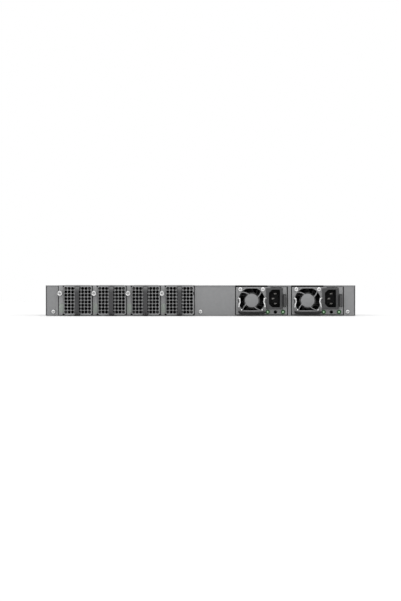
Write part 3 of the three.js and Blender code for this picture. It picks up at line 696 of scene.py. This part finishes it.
def build_fan_leads(k, body, fan_high):
    """Four leads from the fan's back corner to the tray's plug."""
    plug_low, plug_high = box_mm(f"tray_plug_{k}")
    start = Vector((fan_high.x - 3, fan_high.y - 2, 4.4))
    for colour, material, shift in (("red", wire_red, 0.0), ("black", wire_black, 1.3)):
        bm = bmesh.new()
        for side in (-1.6, 1.6):
            x = (plug_low.x + plug_high.x) / 2 + side + shift
            end = Vector((x, plug_low.y + 1, 5.6))
            bend = (start + end) / 2 + Vector((side, 2, -0.6))
            root = start + Vector((shift - side * 0.5, 0, 0))
            add_wire(bm, smooth_path([root, start + Vector((0, 6, 0)), bend, end]), 0.55, 8)
        piece(f"fan_leads_{colour}_{k}", bm, material, body)
    dress(f"tray_plug_{k}", fan_plastic, 0.2)


def build_handle(k, body):
    """A moulded loop: a rounded strap swept from its upper foot, out, down and back."""
    low, high = box_mm(f"tray_handle_{k}")
    middle = (low.x + high.x) / 2
    half = (high.x - low.x) / 2
    thick = 3.0
    foot = high.y
    top, bottom = high.z - thick / 2, low.z + thick / 2
    reach = low.y + thick / 2
    bends = [(0, foot, top), (0, foot - 8, top - 0.4), (0, reach + 6, top - 1.4)]
    bends += [(0, reach + 1.2, top - 4.2), (0, reach, top - 9), (0, reach, bottom + 8)]
    bends += [(0, reach + 1.2, bottom + 3.6), (0, reach + 6, bottom + 1.0), (0, foot - 8, bottom + 0.2)]
    path = smooth_path([*bends, (0, foot, bottom)], 5)
    section = soft_box(-half, half, -thick / 2, thick / 2, 0.9, 4)
    groove = 0.35  # a shallow channel along the outside face
    section = [(u, v + groove if abs(u) < half * 0.4 and v < 0 else v) for u, v in section]
    loops = []
    for i, point in enumerate(path):
        ahead = (path[min(i + 1, len(path) - 1)] - path[max(i - 1, 0)]).normalized()
        normal = ahead.cross(Vector((1, 0, 0)))
        loops.append([point + Vector((middle + u, 0, 0)) + normal * v for u, v in section])
    bm = bmesh.new()
    add_loft(bm, loops)
    for z in (top, bottom):
        outline = soft_box(middle - half - 0.8, middle + half + 0.8, z - 2.2, z + 2.2, 1)
        add_plug(bm, outline, foot - 1.2, foot, 0.3)
    piece(f"handle_{k}", bm, handle_plastic, body, (f"tray_handle_{k}",))
    # A mounting boss under the lower foot, made black to stand in for the shade beneath the handle.
    bm = bmesh.new()
    boss = soft_box(middle - half, middle + half, low.z - 1.1, low.z + 0.9, 0.6)
    add_plug(bm, boss, foot - 3.5, foot - 0.2, 0.3)
    piece(f"shaded_handle_boss_{k}", bm, fan_plastic, body)


def build_thumbscrew(k, centre):
    """A knurled knob with a cross recess, on a shouldered screw."""
    low, high = box_mm(f"thumbscrew_{k}")
    radius = (high.x - low.x) / 2
    face = low.y
    shoulder = REAR - 1.2
    points = 60
    bm = bmesh.new()

    def knurl(reach, y, depth):
        turns = [(reach - depth * (n % 2), 2 * math.pi * n / points) for n in range(points)]
        return at_depth([around(centre.x, centre.z, r, a) for r, a in turns], y)

    rim = radius - 1.7
    steps = [(rim, face + 0.5, 0), (rim + 0.5, face, 0), (radius - 0.4, face + 0.1, 0)]
    steps += [(radius - 0.1, face + 0.6, 0), (radius, face + 1.0, 0.28), (radius, shoulder - 0.8, 0.28)]
    steps += [(radius - 0.4, shoulder - 0.3, 0), (radius - 1.0, shoulder, 0), (rim, shoulder, 0)]
    add_loft(bm, [knurl(*step) for step in steps], ring=True)
    dish = circle(centre.x, centre.z, rim, points)
    add_sheet(bm, [dish, cross(centre.x, centre.z, 1.45, 0.5)], face + 0.5, 1.6, 0.05)
    add_lathe(bm, centre.x, centre.z, [(rim, face + 2.4), (2.6, shoulder), (2.6, REAR - 0.2)])
    add_lathe(bm, centre.x, centre.z, [(1.3, REAR - 0.3), (1.3, high.y - 0.6), (0.8, high.y)], 16)
    piece(f"thumbscrew_knob_{k}", bm, screw_steel, f"tray_screw_{k}", (f"thumbscrew_{k}",))


# ---- power modules
# Values of x are from the module's middle, but from its fan's axis for the guard, screws and pins.
GUARD_SHIFT = -0.4
GUARD_DISC = 9.6
GUARD_OPEN = 18.8
GUARD_FLAT_TOP = 17.3  # the openings are cut flat above and below the fan's axis
GUARD_FLAT_BOTTOM = -14.0
GUARD_ARMS = [(28.8, 43.2), (115.6, 140.3), (212.2, 225.3), (294.5, 312.8)]  # degrees, disc to rim
PIN_HOLES = (-12.3, 11.2)  # above the guard
ARM_HALF = 0.66
PSU_WALL = 0.8
FACE_SCREWS_X = (-16.6, 15.7)
FACE_PINS_X = (-15.0, 14.5)
SECOND_LAMP_X = 30.7
LAMP_HOLE = 3.1
RETAINER_X = 19.8
RETAINER_HOLE = 2.45
LATCH_SLOT_X = (30.2, 35.5)
LATCH_SLOT_Z = (13, 38.4)
KEEPER_X = (30.4, 35.6)
NOTCH_X = (12.8, 28.8)  # in the face's top edge
NOTCH_Z = 40.1
BEZEL_X = (6.7, 29.6)
INLET_LEAN = -0.5  # the inlet's mouth sits this far below the middle of its body
BLADES_AT = [(1.3, 6.5), (-2.0, -0.7), (1.3, -7.9)]
BAIL_PIVOT_Z = 25.0
BAIL_BAR_Z = 4.6


def guard_outline(n, x, z):
    """One of four openings between the guard's spiral arms."""
    steps = 8

    def arm(n, radius, side):
        at_disc, at_rim = GUARD_ARMS[n % 4]
        degrees = at_disc + (at_rim - at_disc) * (radius - GUARD_DISC) / (GUARD_OPEN - GUARD_DISC)
        return math.radians(degrees + 360 * (n // 4)) + side * ARM_HALF / radius

    def at(radius, angle):
        across, up = around(x, z, radius, angle)
        return (across, max(z + GUARD_FLAT_BOTTOM, min(z + GUARD_FLAT_TOP, up)))

    def arc(radius, start, stop, count):
        return [at(radius, start + (stop - start) * step / count) for step in range(1, count)]

    radii = [GUARD_DISC + (GUARD_OPEN - GUARD_DISC) * step / steps for step in range(steps + 1)]
    outwards = [at(radius, arm(n, radius, 1)) for radius in radii]
    inwards = [at(radius, arm(n + 1, radius, -1)) for radius in reversed(radii)]
    rim = arc(GUARD_OPEN, arm(n, GUARD_OPEN, 1), arm(n + 1, GUARD_OPEN, -1), 14)
    disc = arc(GUARD_DISC, arm(n + 1, GUARD_DISC, -1), arm(n, GUARD_DISC, 1), 10)
    return outwards + rim + inwards + disc


def build_psu(k):
    body = f"psu_{k}"
    low, high = box_mm(f"psu_case_{k}")
    centre = (low.x + high.x) / 2
    light = centre_mm(f"psu_light_{k}")
    lamps = [light.x, centre + SECOND_LAMP_X]
    nodes, names = ("psu_fan", "psu_rotor"), ("psu_fan_housing", "psu_wheel")
    fan_low, fan_high, _ = build_fan(k, "psu", nodes, names, 0.7, blade_plastic)
    fan = (fan_low + fan_high) / 2
    bm = bmesh.new()
    front = fan_low.y + 3.9
    rim = [(9.6, front), (10.9, front + 0.3), (11.7, front + 1.2), (11.7, front + 5)]
    add_lathe(bm, fan.x, fan.z, rim, 48)
    piece(f"psu_hub_{k}", bm, hub_plastic, f"psu_fan_{k}")
    build_psu_shell(k, body, low, high, fan, light.z, lamps)
    build_psu_lid(k, body, low, high)
    build_psu_screws(k, body, fan)
    build_lamps(k, body, lamps, light.z)
    build_bezel(k, body, low, high, lamps, light.z)
    build_inlet(k, body, centre_mm(f"psu_inlet_{k}"))
    build_latch(k, centre)
    build_bail(k, body, fan)
    dress(f"psu_board_{k}", board_mask)


def inlet_side_holes(k, centre, lamps, light_z):
    """The holes for the inlet, the cord retainer and the lamps."""
    inlet = centre_mm(f"psu_inlet_{k}")
    mouth = soft_box(inlet.x - 9.6, inlet.x + 9.6, inlet.z - 13.4, inlet.z + 13, 1)
    retainer = circle(centre + RETAINER_X, light_z - 0.1, RETAINER_HOLE)
    return [mouth, retainer, *[circle(x, light_z, LAMP_HOLE) for x in lamps]]


def build_psu_shell(k, body, low, high, fan, light_z, lamps):
    """The module's stamped face, side walls, floor and perforated back."""
    centre = (low.x + high.x) / 2
    back = high.y
    bm = bmesh.new()
    holes = [guard_outline(n, fan.x + GUARD_SHIFT, fan.z) for n in range(4)]
    holes += [circle(fan.x + dx, fan.z + 17.6, 0.45, 12) for dx in PIN_HOLES]
    holes.append(soft_box(centre + LATCH_SLOT_X[0], centre + LATCH_SLOT_X[1], *LATCH_SLOT_Z, 0.5))
    holes += inlet_side_holes(k, centre, lamps, light_z)
    notch_left, notch_right = (centre + dx for dx in NOTCH_X)
    notch = [(notch_right, high.z), (notch_right, NOTCH_Z), (notch_left, NOTCH_Z), (notch_left, high.z)]
    rim = [(low.x, low.z), (high.x, low.z), (high.x, high.z), *notch, (low.x, high.z)]
    add_sheet(bm, [rim, *holes], REAR, PANEL)
    wall_top = high.z - PSU_WALL
    add_block(bm, (low.x, REAR + 0.8, low.z), (high.x, back, low.z + PSU_WALL), 0.15)
    for x in (low.x, high.x - PSU_WALL):
        add_block(bm, (x, REAR + 0.8, low.z), (x + PSU_WALL, back, wall_top), 0.15)
    vents = [hexagon(centre - 30 + 5 * i, 16 + 5 * j, 2.3) for i in range(8) for j in range(5)]
    edge_slot = soft_box(centre - 26, centre + 26, 5, 8.6, 0.4, 2)
    back_rim = rectangle(low.x, high.x, low.z, wall_top)
    add_sheet(bm, [back_rim, edge_slot, *vents], back - PSU_WALL, PSU_WALL)
    piece(f"psu_shell_{k}", bm, module_paint, body, (f"psu_case_{k}",))


def build_psu_lid(k, body, low, high):
    """A flat lid over the side walls, holed round its countersunk screws."""
    lid_low, lid_high = box_mm(f"psu_lid_{k}")
    bm = bmesh.new()
    spots = [(x, y) for x in (low.x + 6, high.x - 6) for y in (lid_low.y + 12, lid_high.y - 12)]
    loops = [rectangle(low.x, high.x, lid_low.y, lid_high.y), *[circle(x, y, 2.2) for x, y in spots]]
    add_sheet(bm, loops, lid_high.z - PSU_WALL, PSU_WALL, EASE, FACING_Z)
    piece(f"psu_cover_{k}", bm, module_paint, body, (f"psu_lid_{k}",))
    bm = bmesh.new()
    for x, y in spots:
        add_flat_screw(bm, Vector((x, y, lid_high.z - 0.1)), FACING_Z)
    piece(f"psu_cover_screws_{k}", bm, dull_steel, body)


def add_flat_screw(bm, spot, facing, radius=2.1):
    """A countersunk screw whose top lies at spot, seen along the facing's normal."""
    before = len(bm.verts)
    top = [circle(0, 0, radius, HEAD_SIDES), cross(0, 0, 0.55 * radius, 0.14 * radius)]
    add_sheet(bm, top, -0.5, 0.5, 0.06, FACING_Z)
    rows = [(radius - 0.1, -0.4), (0.5 * radius, -1.3)]
    add_loft(bm, [[Vector((x, y, z)) for x, y in circle(0, 0, r, HEAD_SIDES)] for r, z in rows])
    bm.verts.ensure_lookup_table()
    bmesh.ops.transform(bm, matrix=Matrix.Translation(spot) @ facing, verts=bm.verts[before:])


def build_psu_screws(k, body, fan):
    bm = bmesh.new()
    for dx in FACE_SCREWS_X:
        add_screw_head(bm, fan.x + dx, fan.z + 16, REAR, 3.1, 1.7)
    for dx in FACE_PINS_X:
        add_lathe(bm, fan.x + dx, 8.2, [(0.6, REAR - 1.3), (1.1, REAR - 1.0), (1.25, REAR + 0.1)], 16)
    piece(f"psu_screws_{k}", bm, screw_steel, body)


def build_lamps(k, body, lamps, z):
    bm = bmesh.new()
    for x in lamps:
        rows = [(1.15, 0.4), (1.25, -0.5), (2.2, -0.75), (2.95, -0.65), (3.2, -0.3)]
        rows += [(3.05, 2.0), (1.15, 2.0)]
        add_lathe(bm, x, z, [(r, REAR + y) for r, y in rows], ring=True)
    piece(f"lamp_rings_{k}", bm, green_ring, body)
    bm = bmesh.new()
    for x in lamps:
        dome = [(0.4, REAR - 0.65), (0.8, REAR - 0.55), (0.95, REAR - 0.3), (0.95, REAR + 2)]
        add_lathe(bm, x, z, dome, 24)
    piece(f"lamps_{k}", bm, green_glow, body, (f"psu_light_{k}",))


def inlet_outline(x, z, half_x, half_z, bevel):
    left, right, low, high = x - half_x, x + half_x, z - half_z, z + half_z
    corners = [(left + bevel, low), (right, low), (right, high), (left + bevel, high)]
    corners += [(left, high - bevel), (left, low + bevel)]
    return rounded(corners, 1.3, 4)


def build_bezel(k, body, low, high, lamps, light_z):
    """A darker plate over the inlet's side of the face, holed for the lamps and the retainer."""
    centre = (low.x + high.x) / 2
    rim = rectangle(centre + BEZEL_X[0], centre + BEZEL_X[1], low.z + 0.2, high.z - 1.4)
    holes = inlet_side_holes(k, centre, lamps[:1], light_z)
    bm = bmesh.new()
    add_sheet(bm, [rim, *holes], REAR - 0.32, 0.3, 0.1)
    piece(f"inlet_bezel_{k}", bm, bezel_paint, body)


def build_inlet(k, body, centre):
    """A mains inlet: a flange on the face, a deep liner and three blades."""
    x, z = centre.x, centre.z
    low, high = box_mm(f"psu_inlet_{k}")
    mouth = inlet_outline(x, z + INLET_LEAN, 7.9, 12.6, 4.6)
    bm = bmesh.new()
    flange = soft_box(low.x, high.x, low.z - 1.6, high.z, 0.8)
    add_sheet(bm, [flange, mouth], low.y, 1.1, 0.25)
    piece(f"inlet_flange_{k}", bm, flange_plastic, body)
    bm = bmesh.new()
    steps = [(0.0, low.y + 0.1), (-0.4, low.y + 0.1), (-0.5, low.y + 0.4), (-1.3, low.y + 1.2)]
    steps += [(-1.3, high.y - 4), (0.0, high.y - 4)]
    add_loft(bm, [at_depth(inset(mouth, i), y) for i, y in steps], ring=True)
    add_plug(bm, inset(mouth, -0.3), REAR + 15.5, REAR + 18, 0.2)
    piece(f"inlet_{k}", bm, inlet_plastic, body, (f"psu_inlet_{k}",))
    bm = bmesh.new()
    for dx, dz in BLADES_AT:
        outline = soft_box(x + dx - 2, x + dx + 2, z + dz - 1, z + dz + 1, 0.4, 3)
        add_plug(bm, outline, REAR + 4.2, REAR + 16, 0.75)
    piece(f"inlet_blades_{k}", bm, pin_metal, body)


def build_latch(k, centre):
    """The release lever with its ribbed pad, and the fixed keeper above it."""
    low, high = box_mm(f"psu_latch_{k}")
    pad_right = low.x + 3.4
    pad_top = low.z + 16.2
    bm = bmesh.new()
    add_plug(bm, soft_box(low.x, pad_right, low.z, pad_top, 0.8), low.y, REAR - 0.4, 0.6)
    for n in range(5):
        z = low.z + 2.6 + 2.4 * n
        rib = soft_box(low.x + 0.5, pad_right - 0.5, z, z + 1.0, 0.3, 2)
        add_plug(bm, rib, low.y - 0.4, low.y + 0.6, 0.2)
    bridge_z = (14.4, 28.6)
    arm = centre + 34.4
    add_block(bm, (low.x + 1.2, REAR - 4, bridge_z[0]), (arm + 0.4, REAR - 1, bridge_z[1]), 0.3)
    add_block(bm, (arm, REAR - 5, bridge_z[0]), (arm + 0.7, high.y, bridge_z[1]), 0.2)
    add_block(bm, (arm + 0.3, REAR + 15, 17), (high.x, REAR + 19, 25), 0.3)
    piece(f"latch_{k}", bm, latch_plastic, f"psu_latch_{k}", (f"psu_latch_{k}",))
    bm = bmesh.new()
    tab = soft_box(centre + KEEPER_X[0], centre + KEEPER_X[1], 30.6, 40.9, 0.6)
    add_plug(bm, tab, REAR - 0.8, REAR - 0.05, 0.3)
    piece(f"latch_keeper_{k}", bm, module_paint, f"psu_{k}")


def build_bail(k, body, fan):
    """A bright wire that bends in and out beside the fan, under a moulded grip."""
    low, high = box_mm(f"psu_bail_{k}")
    y = (low.y + high.y) / 2
    pivot_z = BAIL_PIVOT_Z
    path = [(19.6, pivot_z), (18.4, pivot_z - 0.1), (17.5, 24.0), (17.2, 22.2), (17.3, 19.6), (17.7, 17.8)]
    path += [(18.4, 16.2), (18.6, 14.6), (18.6, 12.0), (18.5, 8.6), (18.2, 5.4)]
    bm = bmesh.new()
    for side in (-1, 1):
        add_wire(bm, smooth_path([(fan.x + side * dx, y, z) for dx, z in path]), 1.15)
    add_wire(bm, [(fan.x + dx, y, BAIL_BAR_Z) for dx in (-18.4, 0, 18.4)], 0.9)
    piece(f"bail_wire_{k}", bm, chrome, f"psu_bail_{k}", (f"psu_bail_{k}",))

    bm = bmesh.new()
    for side in (-1, 1):
        ends = sorted((fan.x + side * 18.5, fan.x + side * 20.0))
        rows = ((ends[0], 1.5), (ends[0] + 0.2, 1.8), (ends[1] - 0.2, 1.8), (ends[1], 1.5))
        add_loft(bm, [[Vector((x, a, b)) for a, b in circle(y, pivot_z, reach, 20)] for x, reach in rows])
    piece(f"bail_hinges_{k}", bm, dull_steel, body)
    bm = bmesh.new()
    for side in (-1, 1):
        x = fan.x + side * 18.5
        add_wire(bm, [(x, y, 11.6), (x, y, 9.0), (x - side * 0.2, y, 6.0)], 1.4, 16)
    piece(f"bail_sleeves_{k}", bm, sleeve_plastic, f"psu_bail_{k}")
    build_grip(k, fan)


def build_grip(k, fan):
    """A moulded sleeve with a finger groove. Its ends rise to meet the wire."""
    low, high = box_mm(f"psu_grip_{k}")
    middle = (low.z + high.z) / 2 - 0.4
    half = high.x - fan.x + 1.2
    # The section, as (y, z) from the sleeve's middle: a flat back, a lit top and a groove in front.
    section = [(2.3, -1.4), (2.3, 1.4), (1.2, 1.9), (-0.6, 1.8), (-2.0, 1.5), (-2.5, 0.9), (-1.5, 0.5)]
    section += [(-1.4, -0.6), (-2.4, -0.9), (-1.8, -1.5), (-0.4, -1.8), (1.2, -1.8)]
    # Stations along it, as (share of its half length, size, rise).
    stations = [(-1.0, 0.6, 2.0), (-0.985, 0.8, 1.5), (-0.95, 0.95, 0.9)]
    stations += [(-0.88, 1.0, 0.3), (-0.78, 1.0, 0.05), (0.0, 1.0, 0.0)]
    stations += [(-along, size, rise) for along, size, rise in reversed(stations[:-1])]
    loops = []
    for along, size, rise in stations:
        x = fan.x + along * half
        loops.append([Vector((x, REAR - 3.1 + u * size, middle + rise + v * size)) for u, v in section])
    bm = bmesh.new()
    add_loft(bm, loops)
    piece(f"bail_grip_{k}", bm, grip_plastic, f"psu_bail_{k}", (f"psu_grip_{k}",), 0.25)


# ---- chassis
COVER_SCREWS_X = (-160, -54, 54, 160)
SIDE_SCREWS_Y = (REAR + 34, REAR + 150, REAR + 290, FRONT - 80)


def build_chassis():
    dress("base_pan", panel_paint, 0.2)
    dress("top_cover", panel_paint, 0.3)
    dress("fan_bay_frame", shaded_zinc, 0.05)
    dress("power_bay_frame", shaded_zinc, 0.05)
    dress("main_board", board_mask)
    dress("power_board", board_mask)
    dress("switch_chip", blade_plastic, 0.2)
    dress("heat_sink", sink_metal, 0.1)
    for place in ("left", "centre", "right"):
        node = f"rear_screw_{place}"
        spot = centre_mm(node)
        bm = bmesh.new()
        add_screw_head(bm, spot.x, spot.z, REAR - 0.05, 2.9, 1.6)
        add_lathe(bm, spot.x, spot.z, [(1.4, REAR - 0.2), (1.4, REAR + 5)], 16)
        piece(f"panel_screw_{place}", bm, plain_steel, "chassis", (node,))
    build_bay_gap_shade_foam()
    bm = bmesh.new()
    for side, facing in ((1, FACING_X), (-1, Matrix.Rotation(math.pi, 4, "Z") @ FACING_X)):
        for y in SIDE_SCREWS_Y:
            add_flat_screw(bm, Vector((side * (SIDE + 0.12), y, TOP / 2)), facing)
    for x in COVER_SCREWS_X:
        add_flat_screw(bm, Vector((x, FRONT - 9, TOP + 0.12)), FACING_Z)
    piece("cover_screws", bm, dull_steel, "chassis")


def build_bay_gap_shade_foam():
    """Black foam strips round each power module, over its fan and in the gaps at its sides: gaskets that
    also stand in for the shade in those gaps.
    """
    bm = bmesh.new()
    for k in (1, 2):
        low, high = box_mm(f"psu_case_{k}")
        centre = (low.x + high.x) / 2
        # Painted shade: black foam fills the gap above the module and the gaps at its sides.
        outline = soft_box(low.x - 0.7, centre + 8.3, high.z + 0.2, TOP - 0.05, 0.25, 2)
        add_plug(bm, outline, REAR + 0.05, REAR + 1.4, 0.15)
        for left, right in ((low.x - 1.2, low.x - 0.15), (high.x + 0.6, high.x + 1.25)):
            add_plug(bm, rectangle(left, right, low.z + 0.2, high.z - 0.2), REAR + 0.4, REAR + 2, 0.15)
    piece("bay_gap_shade_foam", bm, foam, "chassis")


# ---- port side
VENT_LEFT = -200.0
VENT_RIGHT = -52.0
VENT_LOW = 7.5
VENT_HIGH = 35.0
VENT_PITCH = 4.4
VENT_RADIUS = 2.15
CAGES = (("sfp_cage", 12, 14.25), ("qsfp_cage", 3, 19.4))  # node, columns and their pitch
CAGE_WALL = 0.35
CAGE_EDGE = 0.325
PORT_ROWS = (14.0, 27.2)
PORT_LIGHTS_Z = (19.9, 21.3)
CONNECTOR_DEPTH = 40
RESET_X = 205.5
LIGHT_X = 211
BUTTON_Z = 38.6
JACK_ROWS = (9.6, 22.8)


def port_spots():
    """The (x, z, width) of each port's middle, worked out from the two cages."""
    spots = []
    for node, columns, pitch in CAGES:
        high = box_mm(node)[1]
        for column in range(columns):
            x = high.x - CAGE_EDGE - (column + 0.5) * pitch
            spots += [(x, z, pitch - 2 * CAGE_WALL) for z in PORT_ROWS]
    return spots


def build_front():
    build_front_panel()
    build_vent_filter()
    build_cages()
    build_jack()
    dress("reset_button", handle_plastic, 0.1)
    bm = bmesh.new()
    dome = [(1.4, FRONT - 3), (1.4, FRONT), (1.0, FRONT + 0.35), (0.4, FRONT + 0.45)]
    add_lathe(bm, LIGHT_X, BUTTON_Z, dome, 20)
    piece("status_light", bm, port_green, "chassis")


def vent_holes():
    row_pitch = VENT_PITCH * math.sqrt(3) / 2
    columns = int((VENT_RIGHT - VENT_LEFT) / VENT_PITCH)
    holes = []
    for row in range(int((VENT_HIGH - VENT_LOW) / row_pitch)):
        z = VENT_LOW + (row + 0.5) * row_pitch
        shift = 0.5 * VENT_PITCH * (row % 2)
        holes += [hexagon(VENT_LEFT + shift + n * VENT_PITCH, z, VENT_RADIUS) for n in range(columns)]
    return holes


def build_front_panel():
    low, high = box_mm("front_panel")
    bm = bmesh.new()
    holes = vent_holes()
    for node in ("sfp_cage", "qsfp_cage", "console_jack"):
        a, b = box_mm(node)
        holes.append(soft_box(a.x - 0.3, b.x + 0.3, a.z - 0.3, b.z + 0.3, 0.4, 2))
    holes += [circle(RESET_X, BUTTON_Z, 1.2), circle(LIGHT_X, BUTTON_Z, 1.5)]
    add_sheet(bm, [rectangle(low.x, high.x, low.z, high.z), *holes], FRONT - PANEL, PANEL)
    piece("port_panel", bm, panel_paint, "chassis", ("front_panel",))


def build_vent_filter():
    """A sheet of dust-filter foam just behind the vents."""
    outline = soft_box(VENT_LEFT - 4, VENT_RIGHT + 4, VENT_LOW + 0.4, VENT_HIGH + 2, 1)
    back = FRONT - PANEL - 2.2
    bm = bmesh.new()
    add_plug(bm, outline, back, back + 2, 0.3)
    piece("vent_filter", bm, foam, "chassis")


def build_cages():
    """The stamped cages, their ground fingers, the connectors inside and the lights between rows."""
    bm = bmesh.new()
    for node, _, _ in CAGES:
        dress(node, cage_steel, 0.05)
        low, high = box_mm(node)
        count = int((high.x - low.x) / 3.4)
        step = (high.x - low.x) / count
        for n in range(count):
            x = low.x + (n + 0.5) * step
            add_finger(bm, x, high.z, 1)
            add_finger(bm, x, low.z, -1)
    piece("ground_fingers", bm, spring_steel, "chassis")

    connectors = bmesh.new()
    contacts = bmesh.new()
    for x, z, width in port_spots():
        half = width / 2 - 1.6
        depth = FRONT - CONNECTOR_DEPTH
        add_block(connectors, (x - half, depth - 6, z - 2.6), (x + half, depth, z + 2.8), 0.3)
        for n in range(10):
            across = x - half + 1 + (2 * half - 2) * n / 9
            start, end = (across - 0.2, depth - 0.5, z - 1.0), (across + 0.2, depth + 0.3, z - 0.5)
            add_block(contacts, start, end, 0.05)
    piece("port_connectors", connectors, fan_plastic, "chassis")
    piece("port_contacts", contacts, gold, "chassis")

    bm = bmesh.new()
    mouth = box_mm("sfp_cage")[1].y
    for x, z, _ in port_spots():
        if z == PORT_ROWS[1]:
            for lamp_x in (x - 3, x + 3):
                lamp = soft_box(lamp_x - 1.1, lamp_x + 1.1, *PORT_LIGHTS_Z, 0.3, 2)
                add_plug(bm, lamp, mouth - 1, mouth + 0.25, 0.2)
    piece("port_lights", bm, port_green, "chassis")


def add_finger(bm, x, z, out):
    """A bowed spring finger that bridges a cage and the panel."""
    half = 1.2
    bow = [(-3.6, 0.05), (-2.2, 0.35), (-0.9, 0.55), (0.5, 0.3), (1.1, -0.1)]
    loops = []
    for along, lift in bow:
        section = rectangle(x - half, x + half, z + out * lift, z + out * (lift + 0.18))
        loops.append(at_depth(section, FRONT + along))
    add_loft(bm, loops)


def build_jack():
    """Two stacked network jacks: a plated shell, a black insert and sprung contacts."""
    dress("console_jack", cage_steel, 0.15)
    low, high = box_mm("console_jack")
    middle = (low.x + high.x) / 2
    insert = bmesh.new()
    contacts = bmesh.new()
    mouths = []
    key = 3.0
    half_mouth = [(5.9, 0), (5.9, 8.4), (key, 8.4), (key, 10.2)]
    for z in JACK_ROWS:
        mouth = [(middle + across, z + up) for across, up in half_mouth]
        mouth += [(middle - across, z + up) for across, up in reversed(half_mouth)]
        mouths.append(inset(mouth, 0.25))
        add_liner(insert, mouth, high.y - 13.9, high.y + 0.1, 0.3)
        for n in range(8):
            x = middle + (n - 3.5) * 1.02
            path = [(x, high.y - 13, z + 1), (x, high.y - 8, z + 1.6), (x, high.y - 3.5, z + 4.6)]
            add_wire(contacts, smooth_path(path, 3), 0.22, 6)
    face = soft_box(low.x + 0.7, high.x - 0.7, low.z + 0.7, high.z - 0.7, 0.4, 2)
    add_sheet(insert, [face, *mouths], high.y + 0.02, 0.3, 0.08)
    piece("jack_insert", insert, inlet_plastic, "chassis")
    piece("jack_contacts", contacts, gold, "chassis")


# ---- stage
CAMERA_AWAY = 3200  # from the face
CAMERA_HEIGHT = 21.95
VISIBLE_HEIGHT = 858  # of the picture, at the face
SENSOR = 36.0


def build_floor():
    reach = 30000
    bm = bmesh.new()
    corners = ((-reach, -reach), (reach, -reach), (reach, reach), (-reach, reach))
    bm.faces.new([bm.verts.new((x, y, -0.2)) for x, y in corners])
    bmesh.ops.scale(bm, vec=(MM, MM, MM), verts=bm.verts)
    mesh = bpy.data.meshes.new("floor")
    bm.to_mesh(mesh)
    bm.free()
    floor = bpy.data.objects.new("floor", mesh)
    bpy.context.collection.objects.link(floor)
    finish = Finish("floor_white", (0.86, 0.86, 0.86), 0.45)
    mesh.materials.append(finish.done())


def build_light():
    """A studio that is white to the camera, bright above and dim at the height of the object."""
    world = bpy.data.worlds.new("studio")
    bpy.context.scene.world = world
    world.use_nodes = True
    nodes, links = world.node_tree.nodes, world.node_tree.links
    place = nodes.new("ShaderNodeTexCoord")
    split = nodes.new("ShaderNodeSeparateXYZ")
    links.new(place.outputs["Generated"], split.inputs[0])
    ramp = nodes.new("ShaderNodeMapRange")
    ramp.interpolation_type = "SMOOTHSTEP"
    for name, number in (("From Min", 0.02), ("From Max", 0.6), ("To Min", 0.45), ("To Max", 1.35)):
        ramp.inputs[name].default_value = number
    links.new(split.outputs["Z"], ramp.inputs["Value"])
    path = nodes.new("ShaderNodeLightPath")
    choose = nodes.new("ShaderNodeMix")
    choose.inputs[3].default_value = 1.0
    links.new(path.outputs["Is Camera Ray"], choose.inputs[0])
    links.new(ramp.outputs["Result"], choose.inputs[2])
    links.new(choose.outputs[0], nodes["Background"].inputs["Strength"])
    nodes["Background"].inputs["Color"].default_value = (1, 1, 1, 1)


def build_camera():
    data = bpy.data.cameras.new("camera")
    data.sensor_width = SENSOR
    data.sensor_fit = "AUTO"
    data.lens = SENSOR * CAMERA_AWAY / VISIBLE_HEIGHT
    data.clip_end = 100
    camera = bpy.data.objects.new("camera", data)
    camera.location = (0, (REAR - CAMERA_AWAY) * MM, CAMERA_HEIGHT * MM)
    camera.rotation_euler = (math.pi / 2, 0, 0)
    bpy.context.collection.objects.link(camera)
    bpy.context.scene.camera = camera
    bpy.context.scene.view_settings.view_transform = "Standard"


build_chassis()
for number in range(1, 5):
    build_tray(number)
for number in range(1, 3):
    build_psu(number)
build_front()
build_floor()
build_light()
build_camera()
